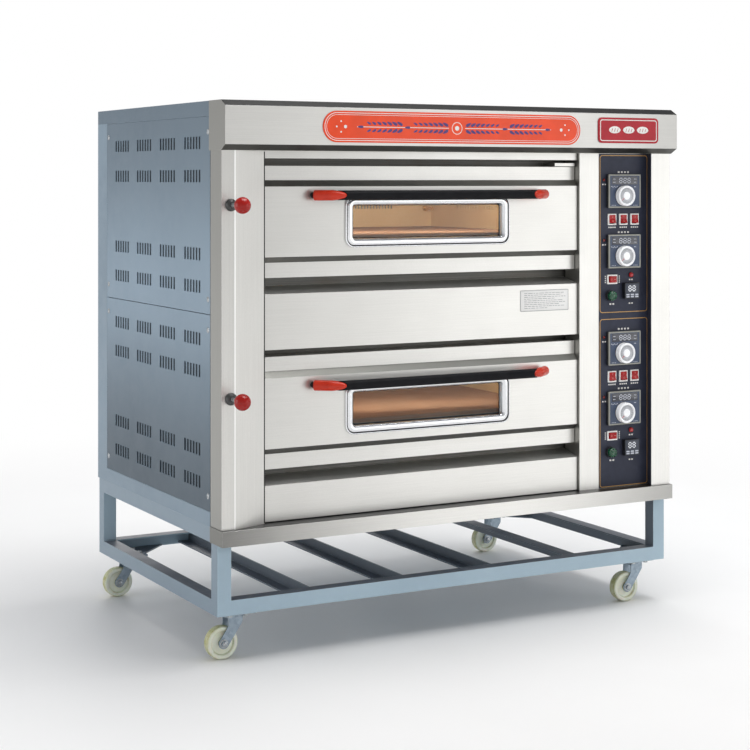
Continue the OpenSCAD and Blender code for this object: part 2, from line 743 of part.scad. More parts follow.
module dial(i) placed() color(trim_white)
  translate([stat_at[i][0] - knob_left, plate_y - stat_out, stat_at[i][1] - knob_drop])
    rotate([90, 0, 0]) difference() {
      r = dial_d / 2;
      union() {
        translate([0, 0, 0.6]) rotate_extrude($fn = 72)
          polygon([
            [0, 0], [r - 0.3, 0], [r, 13.6], [r - 1.2, 15.8], [r - 2.8, 16.4],
            [r - 4.8, 15.6], [r - 6, 14], [11, 13], [10.6, 14.2], [9.6, 14.6], [0, 14.6]
          ]);
        translate([0, 0, -18]) cylinder(r = 3, h = 19);
      }
      // pointer groove, lower left
      rotate([0, 0, 218]) translate([12, -0.6, 13]) cube([7, 1.2, 2]);
    }

// green cap that is pushed in, with its stem
module button(i) placed() color([0.10, 0.55, 0.30]) on_plate([button_at[i]]) rotate_extrude()
  polygon([
    [0, -24], [9, -24], [9, 8.4], [12.8, 8.6],
    [12.8, 18.6], [11.6, 20.6], [6.6, 21.6], [0, 22]
  ]);

// ball, rod and a blade on the rod's back end
module damper(i) placed() color([0.75, 0.16, 0.14]) translate([damp_x, 0, damp_z[i]]) {
  union() {
    translate([0, ball_y, 0]) sphere(r = ball_d / 2, $fn = 64);
    rod_y(0, 0, 5, ball_y, 330);
    block([-14, 318, -22], [-12.5, 390, 22]);
    block([-14, 318, -4], [4, 326, 4]);
  }
}

module damper_collars() placed() color(black)
  for (z = damp_z) translate([damp_x, 0, z]) rotate([90, 0, 0]) rotate_extrude()
    polygon([
      [5.06, -14], [6.8, -14], [6.8, 0], [15, 0],
      [15, 3], [12, 8], [9, 10], [5.06, 10]
    ]);

// ---- Doors, drawn with their bottom edge on z = 0 ----

win_x = door_x + 1;
win_z = 93 + glass_h / 2;          // middle of the glass
pane_w = glass_w + 22;
pane_h = glass_h + 22;
// [y, z] from the bottom back edge round the front to the top back edge
door_path = [
  [door_back, 0], [strip_y, 0], [strip_y, 37], [face_y, 51],
  [face_y, door_h - 50.5], [strip_y, door_h - 35], [strip_y, door_h], [door_back, door_h]
];

module door_at(i) placed() translate([0, 0, deck_z(i)]) children();
// rounded block centred on the window
module window_block(w, h, r, y0, y1)
  along_y(y0, y1) translate([win_x, win_z]) round_rect(w, h, r);

module door_skin(i) door_at(i) color([0.86, 0.86, 0.85])
  difference() {
    union() {
      along_x(door_x0, door_x1) bent(door_path, -sheet);
      along_x(door_x0, door_x0 + sheet) polygon(door_path);
      along_x(door_x1 - sheet, door_x1) polygon(door_path);
    }
    window_block(pane_w, pane_h, 6, 30, 60);
    rod_x(hinge_y, hinge_up, hinge_d / 2 + 0.8, door_x0 - 2, door_x1 + 2);
  }

// inner sheet with a box round the window and two hinge sockets
module door_liner(i) door_at(i) color([0.62, 0.60, 0.57]) {
  box_w = glass_w + 84;
  box_h = glass_h + 30;
  socket_r = hinge_d / 2 + 0.06;
  difference() {
    union() {
      block([door_x0 + 2.5, door_back + 0.5, 2], [door_x1 - 2.5, door_back + 2.5, door_h - 2]);
      window_block(box_w, box_h, 8, face_y + sheet + 0.2, door_back + 1);
      for (side = [-1, 1])
        translate([door_x + side * (door_w / 2 - 9.2), hinge_y, 0])
          translate([-7.5, -9, 1.7]) cube([15, 28.5, 16]);
    }
    window_block(box_w - 4, box_h - 4, 6, 30, door_back + 0.5);
    window_block(box_w - 8, box_h - 8, 6, 30, 100);
    rod_x(hinge_y, hinge_up, socket_r, door_x0 - 2, door_x0 + 20);
    rod_x(hinge_y, hinge_up, socket_r, door_x1 - 20, door_x1 + 2);
  }
}

module door_bezel(i) door_at(i) color(trim_white)
  difference() {
    union() {
      window_block(484, 128, 24, 33, face_y);
      window_block(glass_w + 20, glass_h + 20, 6, face_y, face_y + 8);
    }
    window_block(glass_w, glass_h, 7, 32, face_y + 9);
  }

module door_glass(i) door_at(i) color([0.85, 0.90, 0.92, 0.35])
  window_block(pane_w, pane_h, 5, face_y + 8.2, face_y + 13);

// End caps run outwards and back, from a nose at the bar's front to a tail near the door
bar_y = -15;
bar_z = 201;
cap_dx = 65;
cap_dy = 50;
cap_angle = atan2(cap_dy, cap_dx);
cap_r = grip_d / 2 + 1;
grip_x = door_x + 6;

// +Z of the children runs along the cap on the given side
module along_cap(side)
  translate([grip_x + side * grip_l / 2, bar_y - grip_d / 2 + 1, bar_z])
    rotate([0, 0, side > 0 ? cap_angle : 180 - cap_angle]) rotate([0, 90, 0]) children();
module end_cap(gap) rotate_extrude()
  polygon([
    [0, -gap], [3.2 + gap, 1.2 - gap], [6.2 + gap, 5], [9 + gap, 13], [11.4 + gap, 24],
    [cap_r + gap, 36], [cap_r + gap, 80], [cap_r - 2, 82 + gap], [0, 82 + gap]
  ]);
// posts between the end caps and the door
module handle_posts(gap)
  for (side = [-1, 1])
    translate([grip_x + side * (grip_l / 2 + cap_dx - 5), 0, bar_z])
      rod_y(0, 0, 8 + gap, cap_dy + bar_y - 6 - gap, face_y);

module door_handle(i) door_at(i) color(black) {
  bar_half = grip_l / 2 + 34;
  difference() {
    rod_x(bar_y, bar_z, grip_d / 2, grip_x - bar_half, grip_x + bar_half);
    for (side = [-1, 1]) along_cap(side) {
      end_cap(gap = 0.15);
      // nothing of the bar is left in front of the cap's axis
      translate([-30, side > 0 ? -60 : 0, -20]) cube([60, 60, 130]);
    }
  }
  handle_posts(gap = 0);
}

module door_caps(i) door_at(i) color([0.80, 0.22, 0.15]) difference() {
  for (side = [-1, 1]) along_cap(side) end_cap(gap = 0);
  handle_posts(gap = 0.1);
}

// ---- Nodes ----

stand_frame();
stand_shelf_bars();
caster_top_plates();
body_frame();
base_skirt();
side_panel_left();
side_panel_right();
back_panel();
top_cover();
crown_fascia();
name_plates();
left_pillar();
right_pillar();
front_panels();
chamber_liners();
hearth_plates();
insulation();
gas_train();
flue_stack();
control_plate();
control_modules();
damper_collars();
hinge_brackets();
fasteners();
door_skin(1);  // door_upper_skin
door_liner(1);  // door_upper_liner
door_bezel(1);  // door_upper_bezel
door_glass(1);  // door_upper_glass
door_handle(1);  // door_upper_handle
door_caps(1);  // door_upper_caps
door_skin(0);  // door_lower_skin
door_liner(0);  // door_lower_liner
door_bezel(0);  // door_lower_bezel
door_glass(0);  // door_lower_glass
door_handle(0);  // door_lower_handle
door_caps(0);  // door_lower_caps
damper(0);  // damper_upper
damper(1);  // damper_lower
dial(0);  // dial_upper_top
dial(1);  // dial_upper_bottom
dial(2);  // dial_lower_top
dial(3);  // dial_lower_bottom
rocker_row(0);  // rocker_upper_a
rocker_row(1);  // rocker_upper_b
rocker_row(2);  // rocker_upper_c
rocker_single(0);  // rocker_upper_d
rocker_row(3);  // rocker_lower_a
rocker_row(4);  // rocker_lower_b
rocker_row(5);  // rocker_lower_c
rocker_single(1);  // rocker_lower_d
button(0);  // button_upper
button(1);  // button_lower
caster_fork(-caster_x, caster_yf);  // fork_fl
caster_fork(caster_x, caster_yf);  // fork_fr
caster_fork(-caster_x, caster_yr);  // fork_rl
caster_fork(caster_x, caster_yr);  // fork_rr
caster_wheel(-caster_x, caster_yf);  // wheel_fl
caster_wheel(caster_x, caster_yf);  // wheel_fr
caster_wheel(-caster_x, caster_yr);  // wheel_rl
caster_wheel(caster_x, caster_yr);  // wheel_rr
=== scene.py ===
import bpy
import math
import random
from mathutils import Vector, Matrix


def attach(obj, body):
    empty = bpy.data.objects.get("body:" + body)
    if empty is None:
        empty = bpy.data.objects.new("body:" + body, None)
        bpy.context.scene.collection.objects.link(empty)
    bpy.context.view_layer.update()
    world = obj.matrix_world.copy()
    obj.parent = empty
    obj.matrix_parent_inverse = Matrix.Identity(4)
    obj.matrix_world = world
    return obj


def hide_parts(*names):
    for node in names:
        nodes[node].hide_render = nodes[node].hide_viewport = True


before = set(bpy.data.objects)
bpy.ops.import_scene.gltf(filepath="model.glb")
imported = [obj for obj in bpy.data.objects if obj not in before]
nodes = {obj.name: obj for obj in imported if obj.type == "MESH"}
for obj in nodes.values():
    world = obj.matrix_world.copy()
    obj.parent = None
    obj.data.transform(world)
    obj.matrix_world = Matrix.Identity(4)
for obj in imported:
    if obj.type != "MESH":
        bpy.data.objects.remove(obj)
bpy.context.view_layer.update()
random.seed(7)
ROOT = "oven"

# ------------------------------------------------------------------ shared dimensions (mm, drawing frame)
# The drawing frame has X = 0 in the middle of the body and Y = 0 on the front of the corner pillars.
OX, OY = 3.0, -407.0


def P(x, y, z):
    return Vector(((x + OX) / 1000.0, (y + OY) / 1000.0, z / 1000.0))


HW = 665.0
DECK = [450.0, 915.0]
DOOR_H = 273.0
DOOR_X = -75.0
WIN_X = -74.0
WIN_Z = 134.5
CTL_X = 526.3
DIAL_X = 522.8
STAT_W, STAT_H = 105.0, 89.5
PLATE_Y = 28.0
STAT_Z = [1123.0, 960.5, 699.0, 538.0]
STAT_OUT = 11.5
TIMER_OUT = 12.5
ROW_X = [491.0, 528.5, 566.0]
ROW_Z = [1046.6, 622.6]
SINGLE_X = 491.6
SINGLE_Z = [885.0, 463.6]
LAMPS = [(554.3, 896.0), (554.3, 475.0)]
LEDS = [(465.0, z) for z in (1153.0, 990.5, 729.5, 568.5)]
TIMERS = [(550.4, 853.2), (550.4, 429.2)]
GREENS = [(483.7, 841.5), (483.7, 420.0)]
CASTERS = {"fl": (-600.0, 75.0), "fr": (600.0, 75.0), "rl": (-600.0, 790.0), "rr": (600.0, 790.0)}
DAMPERS = {"upper": 1094.0, "lower": 634.0}
DAMP_X = -641.0


# ------------------------------------------------------------------ node-tree helper
def lin(c):
    """sRGB 0-255 to linear."""
    out = []
    for v in c:
        v = v / 255.0
        out.append(v / 12.92 if v <= 0.04045 else ((v + 0.055) / 1.055) ** 2.4)
    return (out[0], out[1], out[2], 1.0)


class Tree:
    def __init__(self, name):
        self.mat = bpy.data.materials.new(name)
        self.mat.use_nodes = True
        self.nt = self.mat.node_tree
        self.nt.nodes.clear()
        self.out = self.nt.nodes.new("ShaderNodeOutputMaterial")
        self._coord = None
        self._geo = None

    def node(self, kind, inputs=None, **props):
        n = self.nt.nodes.new(kind)
        for k, v in props.items():
            setattr(n, k, v)
        for k, v in (inputs or {}).items():
            if isinstance(v, bpy.types.NodeSocket):
                self.nt.links.new(v, n.inputs[k])
            else:
                n.inputs[k].default_value = v
        return n

    def coord(self):
        if self._coord is None:
            self._coord = self.node("ShaderNodeTexCoord").outputs["Object"]
        return self._coord

    def geo(self):
        if self._geo is None:
            self._geo = self.node("ShaderNodeNewGeometry")
        return self._geo

    def mapped(self, scale, loc=(0, 0, 0)):
        return self.node("ShaderNodeMapping", {"Vector": self.coord(), "Scale": scale, "Location": loc}).outputs["Vector"]

    def noise(self, scale=1.0, detail=3.0, rough=0.55, vec=None, distortion=0.0):
        return self.node("ShaderNodeTexNoise", {"Vector": vec if vec is not None else self.coord(), "Scale": scale, "Detail": detail,
                                                "Roughness": rough, "Distortion": distortion}).outputs["Fac"]

    def math(self, op, a, b=0.0, c=0.0, clamp=False):
        n = self.node("ShaderNodeMath", operation=op, use_clamp=clamp)
        for i, v in enumerate((a, b, c)):
            if isinstance(v, bpy.types.NodeSocket):
                self.nt.links.new(v, n.inputs[i])
            else:
                n.inputs[i].default_value = v
        return n.outputs[0]

    def rng(self, v, a, b, c, d, smooth=False):
        n = self.node("ShaderNodeMapRange", {"Value": v, "From Min": a, "From Max": b, "To Min": c, "To Max": d},
                      interpolation_type="SMOOTHSTEP" if smooth else "LINEAR", clamp=True)
        return n.outputs["Result"]

    def mix(self, fac, a, b, blend="MIX"):
        n = self.node("ShaderNodeMix", data_type="RGBA", blend_type=blend)
        ins = [i for i in n.inputs if i.enabled or True]
        fac_in = n.inputs[0]
        a_in, b_in = n.inputs[6], n.inputs[7]
        for sock, v in ((fac_in, fac), (a_in, a), (b_in, b)):
            if isinstance(v, bpy.types.NodeSocket):
                self.nt.links.new(v, sock)
            else:
                sock.default_value = v
        return n.outputs[2]

    def ramp(self, v, lo, hi, stops):
        """Soft grey gradient of v from lo to hi; stops are (value, grey)."""
        n = self.node("ShaderNodeValToRGB", {"Fac": self.rng(v, lo, hi, 0.0, 1.0)})
        r = n.color_ramp
        r.interpolation = "B_SPLINE"
        while len(r.elements) > 1:
            r.elements.remove(r.elements[0])
        for k, (p, g) in enumerate(stops):
            e = r.elements[0] if k == 0 else r.elements.new((p - lo) / (hi - lo))
            e.position = (p - lo) / (hi - lo)
            e.color = (g / 2.0, g / 2.0, g / 2.0, 1)
        return self.math("MULTIPLY", self.node("ShaderNodeSeparateColor", {"Color": n.outputs["Color"]}).outputs[0], 2.0)

    def scale(self, c, f):
        n = self.node("ShaderNodeVectorMath", operation="SCALE")
        self.nt.links.new(c, n.inputs[0])
        self.nt.links.new(f, n.inputs["Scale"])
        return n.outputs[0]

    def sep(self, v):
        return self.node("ShaderNodeSeparateXYZ", {"Vector": v}).outputs

    def bump(self, height, strength=0.1, dist=0.001, normal=None):
        ins = {"Height": height, "Strength": strength, "Distance": dist}
        if normal is not None:
            ins["Normal"] = normal
        return self.node("ShaderNodeBump", ins).outputs["Normal"]

    def bevel(self, radius=0.001, samples=4):
        return self.node("ShaderNodeBevel", {"Radius": radius}, samples=samples).outputs["Normal"]

    def edge(self, bevel_normal, lo=0.02, hi=0.25):
        """0 on flat faces, up to 1 on edges."""
        d = self.node("ShaderNodeVectorMath", operation="DOT_PRODUCT")
        self.nt.links.new(bevel_normal, d.inputs[0])
        self.nt.links.new(self.geo().outputs["Normal"], d.inputs[1])
        inv = self.math("SUBTRACT", 1.0, d.outputs["Value"])
        return self.rng(inv, lo, hi, 0.0, 1.0)

    def bsdf(self, **inputs):
        n = self.node("ShaderNodeBsdfPrincipled")
        names = {"color": "Base Color", "metal": "Metallic", "rough": "Roughness", "normal": "Normal", "ior": "IOR", "alpha": "Alpha",
                 "aniso": "Anisotropic", "aniso_rot": "Anisotropic Rotation", "tangent": "Tangent", "coat": "Coat Weight",
                 "coat_rough": "Coat Roughness", "spec": "Specular IOR Level", "emit": "Emission Color", "emit_s": "Emission Strength",
                 "trans": "Transmission Weight", "sss": "Subsurface Weight", "sss_r": "Subsurface Radius", "sss_s": "Subsurface Scale",
                 "sheen": "Sheen Weight"}
        for k, v in inputs.items():
            sock = n.inputs[names[k]]
            if isinstance(v, bpy.types.NodeSocket):
                self.nt.links.new(v, sock)
            else:
                sock.default_value = v
        self.nt.links.new(n.outputs[0], self.out.inputs["Surface"])
        return n


# ------------------------------------------------------------------ materials
def paint(name, base, dark, light, grain=900.0, rough=0.42, bev=0.0012, grime=0.35, gradient=None, metal=0.0, spec=0.5, coat=0.08):
    """Stoved enamel on sheet or angle iron: orange peel, cloudy tone, rubbed edges; an optional gradient paints light
    and shade on top.
    """
    t = Tree(name)
    big = t.noise(2.2, 3.0, 0.5)
    mid = t.noise(22.0, 4.0, 0.6)
    fine = t.noise(grain, 2.0, 0.5)
    c = t.mix(t.rng(big, 0.35, 0.65, 0.0, 1.0), lin(dark), lin(light))
    c = t.mix(t.rng(mid, 0.3, 0.7, 0.75, 0.25), c, lin(base))
    c = t.mix(t.rng(fine, 0.25, 0.75, 0.10, 0.0), c, (0.02, 0.025, 0.03, 1))
    if gradient is not None:
        c = gradient(t, c)
    bn = t.bevel(bev, 4)
    e = t.edge(bn)
    chip = t.math("MULTIPLY", e, t.rng(mid, 0.45, 0.62, 0.25, 0.8))
    c = t.mix(chip, c, lin([min(255, int(v * 1.22 + 12)) for v in light]))
    peel = t.noise(420.0, 2.0, 0.5)
    n = t.bump(t.math("ADD", t.math("MULTIPLY", peel, 0.7), t.math("MULTIPLY", fine, 0.3)), 0.12, 0.0006, bn)
    r = t.rng(mid, 0.2, 0.8, rough - 0.07, rough + 0.09)
    t.bsdf(color=c, rough=r, normal=n, metal=metal, spec=spec, coat=coat, coat_rough=0.3)
    return t.mat


def stand_painted_shade(t, c):
    # painted shade: faces turned up are painted in the shade of the oven, faces turned sideways a tone darker than the
    # front ones
    s = t.sep(t.geo().outputs["Normal"])
    up = t.rng(s[2], 0.5, 0.8, 0.0, 0.86)
    c = t.mix(up, c, lin((82, 79, 88)))
    side = t.rng(t.math("ABSOLUTE", s[0]), 0.5, 0.8, 0.0, 0.55)
    c = t.mix(side, c, lin((98, 108, 122)))
    pos = t.sep(t.coord())
    # painted shade: sideways faces inward of the outer left face are painted darker still
    inner = t.math("MULTIPLY", side, t.rng(pos[0], -0.655, -0.64, 0.0, 1.0))
    return t.mix(t.math("MULTIPLY", inner, 1.2, clamp=True), c, lin((74, 74, 82)))


def side_painted_shade(t, c):
    # painted light and shade: the sheet is painted palest at mid height and darker towards both ends, most of all
    # towards the stand
    s = t.sep(t.coord())
    c = t.mix(0.40, c, lin((158, 170, 182)))
    f = t.ramp(s[2], 0.30, 1.34, [(0.30, 0.34), (0.50, 0.42), (0.70, 0.78), (0.84, 1.06), (1.00, 0.92), (1.15, 0.66), (1.34, 0.52)])
    return t.scale(c, f)


def steel(name, base=(228, 227, 223), axis="x", rough=0.34, slant=True, dirty=0.0, metal=0.9, bev=0.0009, ends=0.42):
    """Brushed stainless sheet. The brush lines run along axis; folded slants and the left-hand ends fall into shade."""
    t = Tree(name)
    stretch = {"x": (14.0, 420.0, 2600.0), "z": (2600.0, 420.0, 14.0), "y": (900.0, 3.0, 900.0)}[axis]
    brush = t.noise(1.0, 3.0, 0.62, t.mapped(stretch))
    brush2 = t.noise(1.0, 2.0, 0.5, t.mapped(tuple(v * 0.23 for v in stretch), (3.1, 1.7, 0.4)))
    grit = t.noise(520.0, 3.0, 0.7)
    cloud = t.noise(2.6, 3.0, 0.5)
    smear = t.noise(9.0, 5.0, 0.65, distortion=0.6)
    b = lin(base)
    lo = (b[0] * 0.90, b[1] * 0.90, b[2] * 0.90, 1)
    c = t.mix(t.rng(brush, 0.3, 0.7, 0.0, 1.0), lo, b)
    c = t.mix(t.rng(brush2, 0.35, 0.65, 0.0, 0.14), c, lin((190, 190, 186)))
    c = t.mix(t.rng(grit, 0.3, 0.7, 0.12, 0.0), c, lin((150, 149, 144)))
    c = t.mix(t.rng(cloud, 0.35, 0.7, 0.0, 0.08), c, lin((184, 183, 178)))
    if dirty:
        c = t.mix(t.math("MULTIPLY", t.rng(smear, 0.45, 0.8, 0.0, 1.0), dirty), c, lin((120, 104, 84)))
    bn = t.bevel(bev, 4)
    s = t.sep(t.geo().outputs["Normal"])
    pos = t.sep(t.coord())
    # painted light and shade, as the room's light falls off towards both ends: one soft gradient for the body, one for
    # the crown, one for the skirt
    body = t.ramp(pos[0], -0.67, 0.67, [(-0.67, 0.93), (-0.60, 0.84), (-0.40, 0.90), (0.0, 1.08), (0.67, 1.06)])
    body = t.math("MULTIPLY", body, t.rng(pos[2], 0.38, 1.0, 1.12, 0.97))
    crown_x = t.ramp(pos[0], -0.67, 0.67, [(-0.67, 0.86), (-0.2, 0.92), (0.4, 0.82), (0.67, 0.60)])
    skirt_x = t.ramp(pos[0], -0.67, 0.67, [(-0.67, 0.30), (-0.5, 0.60), (-0.2, 1.10), (0.15, 1.30), (0.4, 1.04), (0.67, 0.56)])
    f = t.math("ADD", t.math("MULTIPLY", body, t.rng(pos[2], 1.2268, 1.2272, 1.0, 0.0)), t.math("MULTIPLY", crown_x, t.rng(pos[2], 1.2268, 1.2272, 0.0, 1.0)))
    low = t.rng(pos[2], 0.3225, 0.3228, 1.0, 0.0)
    f = t.math("ADD", t.math("MULTIPLY", f, t.math("SUBTRACT", 1.0, low)), t.math("MULTIPLY", skirt_x, low))
    if slant or axis == "z":
        c = t.scale(c, f)
    if axis == "z":
        # the fold of the left upright catches the light
        fold = t.math("COMPARE", pos[0], -0.6272, 0.0019)
        c = t.mix(t.math("MULTIPLY", fold, 0.75), c, (0.97, 0.97, 0.96, 1))
    if slant:
        front = t.rng(s[1], -0.15, -0.45, 0.0, 1.0)
        # set-back strips sit in shade, and so do the ledges seen from above
        deep = t.math("MULTIPLY", t.rng(s[1], -0.7, -0.9, 0.0, 1.0), t.rng(pos[1], -0.335, -0.330, 0.0, 1.0))
        deep = t.math("MULTIPLY", deep, t.rng(pos[2], 1.2268, 1.2272, 1.0, 0.0))
        c = t.mix(t.math("MULTIPLY", deep, 0.80), c, lin((60, 60, 57)))
        ledge = t.math("MULTIPLY", t.rng(s[2], 0.75, 0.9, 0.0, 0.94), t.rng(pos[2], 0.33, 0.34, 1.0, 0.0))
        c = t.mix(ledge, c, lin((44, 44, 42)))
        # painted light: shallow ledges under the doors, painted paler towards their front edge
        shelf = t.math("MULTIPLY", t.rng(s[2], 0.9, 0.95, 0.0, 1.0), t.rng(pos[2], 0.37, 0.39, 0.0, 1.0))
        shelf = t.math("MULTIPLY", shelf, t.rng(pos[2], 1.0, 1.02, 1.0, 0.0))
        c = t.mix(shelf, c, t.mix(t.rng(pos[1], -0.318, -0.362, 0.0, 1.0), lin((206, 206, 202)), lin((250, 250, 247))))
        # painted shade and reflection on the folded slants: up-facing ones mid grey and paler to the right, the crown's
        # top slope near black, down-facing ones dark grey
        up = t.math("MULTIPLY", t.math("MULTIPLY", t.rng(s[2], 0.18, 0.42, 0.0, 1.0), t.rng(s[2], 0.88, 0.94, 1.0, 0.0)), front)
        dn = t.math("MULTIPLY", t.rng(s[2], -0.18, -0.42, 0.0, 1.0), front)
        crown = t.rng(pos[2], 1.21, 1.22, 0.0, 1.0)
        upl = t.mix(t.rng(pos[2], 0.8, 1.08, 0.0, 1.0), lin((126, 126, 121)), lin((98, 98, 94)))
        upr = t.mix(t.rng(pos[0], -0.35, 0.3, 0.0, 0.35), upl, lin((190, 190, 184)))
        upc = t.mix(crown, upr, lin((8, 8, 7)))
        dnc = t.mix(crown, t.mix(t.rng(pos[2], 0.6, 0.9, 0.0, 1.0), lin((60, 60, 57)), lin((84, 84, 80))), lin((56, 56, 52)))
        crown_top = t.math("MULTIPLY", up, crown)
        c = t.mix(t.math("MULTIPLY", up, 0.97), c, upc)
        c = t.mix(t.math("MULTIPLY", dn, 0.92), c, dnc)
    if ends:
        # painted shade on faces turned to the left
        left = t.rng(s[0], -0.55, -0.9, 0.0, 1.0)
        c = t.mix(t.math("MULTIPLY", left, 0.75), c, lin((132, 131, 126)))
    # painted highlight: edges painted near white at half strength, less on the crown's top slope
    e = t.edge(bn, 0.03, 0.35)
    e = t.math("MULTIPLY", e, t.math("SUBTRACT", 0.5, t.math("MULTIPLY", crown_top, 0.5))) if slant else t.math("MULTIPLY", e, 0.5)
    c = t.mix(e, c, (0.95, 0.95, 0.94, 1))
    n = t.bump(t.math("ADD", t.math("MULTIPLY", brush, 0.8), t.math("MULTIPLY", grit, 0.5)), 0.06, 0.0004, bn)
    r = t.math("ADD", t.rng(brush, 0.25, 0.75, rough - 0.04, rough + 0.06), t.rng(smear, 0.35, 0.8, 0.0, 0.06))
    t.bsdf(color=c, metal=metal, rough=r, normal=n)
    return t.mat


def chrome(name, base=(235, 236, 238), rough=0.14):
    t = Tree(name)
    n1 = t.noise(120.0, 4.0, 0.6)
    n2 = t.noise(14.0, 3.0, 0.5)
    c = t.mix(t.rng(n2, 0.35, 0.7, 0.0, 0.25), lin(base), lin((200, 203, 207)))
    bn = t.bevel(0.0007, 4)
    n = t.bump(n1, 0.03, 0.0003, bn)
    t.bsdf(color=c, metal=0.96, rough=t.rng(n1, 0.3, 0.7, rough - 0.03, rough + 0.07), normal=n)
    return t.mat


def zinc(name, base=(176, 183, 188), rough=0.36, spangle=160.0, rust=0.10):
    """Zinc-plated or galvanised steel with spangle and the odd brown speck."""
    t = Tree(name)
    v = t.node("ShaderNodeTexVoronoi", {"Vector": t.coord(), "Scale": spangle, "Randomness": 1.0}, feature="F1")
    cell = v.outputs["Color"]
    cs = t.sep(cell)
    c = t.mix(t.rng(cs[0], 0.0, 1.0, 0.0, 0.45), lin(base), lin([max(0, b - 46) for b in base]))
    n1 = t.noise(60.0, 5.0, 0.65)
    c = t.mix(t.rng(n1, 0.66, 0.80, 0.0, rust * 4), c, lin((112, 82, 52)))
    bn = t.bevel(0.0008, 4)
    # painted highlight: edges painted paler
    e = t.edge(bn)
    c = t.mix(t.math("MULTIPLY", e, 0.55), c, lin((226, 230, 233)))
    n = t.bump(n1, 0.10, 0.0005, bn)
    t.bsdf(color=c, metal=0.82, rough=t.rng(cs[1], 0.0, 1.0, rough - 0.08, rough + 0.12), normal=n)
    return t.mat


def plastic(name, base, rough=0.35, grain=1600.0, tone=0.12, coat=0.0, bump=0.05, sss=0.0, emit=0.0, bev=0.0006, spec=0.5):
    """Moulded plastic: faint flow marks, spark-eroded grain, edges painted paler for scuffing and a painted highlight.
    """
    t = Tree(name)
    flow = t.noise(30.0, 3.0, 0.5, distortion=0.8)
    fine = t.noise(grain, 2.0, 0.5)
    b = lin(base)
    dk = (b[0] * (1 - tone), b[1] * (1 - tone), b[2] * (1 - tone), 1)
    lt = (min(1, b[0] * (1 + tone) + 0.004), min(1, b[1] * (1 + tone) + 0.004), min(1, b[2] * (1 + tone) + 0.004), 1)
    c = t.mix(t.rng(flow, 0.3, 0.7, 0.0, 1.0), dk, lt)
    bn = t.bevel(bev, 4)
    # painted highlight and scuffing: edges painted paler
    e = t.edge(bn)
    c = t.mix(t.math("MULTIPLY", e, 0.28), c, (min(1, b[0] * 1.5 + 0.05), min(1, b[1] * 1.5 + 0.05), min(1, b[2] * 1.5 + 0.05), 1))
    n = t.bump(fine, bump, 0.0004, bn)
    kw = dict(color=c, rough=t.rng(flow, 0.25, 0.75, rough - 0.05, rough + 0.07), normal=n, coat=coat, coat_rough=0.12, spec=spec)
    if sss:
        kw.update(sss=sss, sss_s=0.004)
    # emit gives a painted glow to parts that are no lamps
    if emit:
        kw.update(emit=b, emit_s=emit)
    t.bsdf(**kw)
    return t.mat


def enamel(name, base, rough=0.16, tone=0.08):
    """Glossy stoved enamel on a thin plate."""
    t = Tree(name)
    n1 = t.noise(18.0, 3.0, 0.5)
    n2 = t.noise(700.0, 2.0, 0.5)
    b = lin(base)
    c = t.mix(t.rng(n1, 0.3, 0.7, 0.0, 1.0), (b[0] * (1 - tone), b[1] * (1 - tone), b[2] * (1 - tone), 1),
              (min(1, b[0] * (1 + tone)), min(1, b[1] * (1 + tone)), min(1, b[2] * (1 + tone)), 1))
    bn = t.bevel(0.0005, 4)
    n = t.bump(n2, 0.025, 0.0003, bn)
    t.bsdf(color=c, rough=t.rng(n1, 0.25, 0.75, rough - 0.03, rough + 0.05), normal=n, spec=0.3, coat=0.06, coat_rough=0.08)
    return t.mat


def ink(name, base, rough=0.5, tone=0.06):
    t = Tree(name)
    n1 = t.noise(260.0, 3.0, 0.6)
    b = lin(base)
    c = t.mix(t.rng(n1, 0.3, 0.7, 0.0, 1.0), (b[0] * (1 - tone), b[1] * (1 - tone), b[2] * (1 - tone), 1), b)
    t.bsdf(color=c, rough=t.rng(n1, 0.3, 0.7, rough - 0.06, rough + 0.08), normal=t.bump(n1, 0.04, 0.0002))
    return t.mat


def chamber_mat(name, base, dark, rough=0.5, metal=0.25):
    """Heat-tinted chamber sheet: straw and brown clouds, darker soot spots, fine rolling lines."""
    t = Tree(name)
    cloud = t.noise(5.0, 5.0, 0.6, distortion=0.5)
    spots = t.noise(60.0, 4.0, 0.7)
    lines = t.noise(1.0, 2.0, 0.5, t.mapped((4.0, 4.0, 500.0)))
    c = t.mix(t.rng(cloud, 0.3, 0.75, 0.0, 0.8), lin(base), lin(dark))
    c = t.mix(t.rng(spots, 0.62, 0.8, 0.0, 0.35), c, lin([int(v * 0.6) for v in dark]))
    c = t.mix(t.rng(lines, 0.3, 0.7, 0.0, 0.10), c, (0.9, 0.8, 0.65, 1))
    n = t.bump(t.math("ADD", spots, lines), 0.12, 0.0006, t.bevel(0.001, 4))
    t.bsdf(color=c, rough=t.rng(cloud, 0.3, 0.7, rough - 0.1, rough + 0.12), metal=metal, normal=n)
    return t.mat


def wool(name):
    t = Tree(name)
    f1 = t.noise(1.0, 5.0, 0.7, t.mapped((60.0, 400.0, 400.0)))
    f2 = t.noise(1.0, 5.0, 0.7, t.mapped((400.0, 60.0, 300.0)))
    c = t.mix(t.rng(f1, 0.3, 0.7, 0.0, 1.0), lin((190, 172, 120)), lin((232, 222, 180)))
    c = t.mix(t.rng(f2, 0.5, 0.8, 0.0, 0.4), c, lin((150, 128, 84)))
    t.bsdf(color=c, rough=0.95, normal=t.bump(t.math("ADD", f1, f2), 0.8, 0.003), sheen=0.2)
    return t.mat


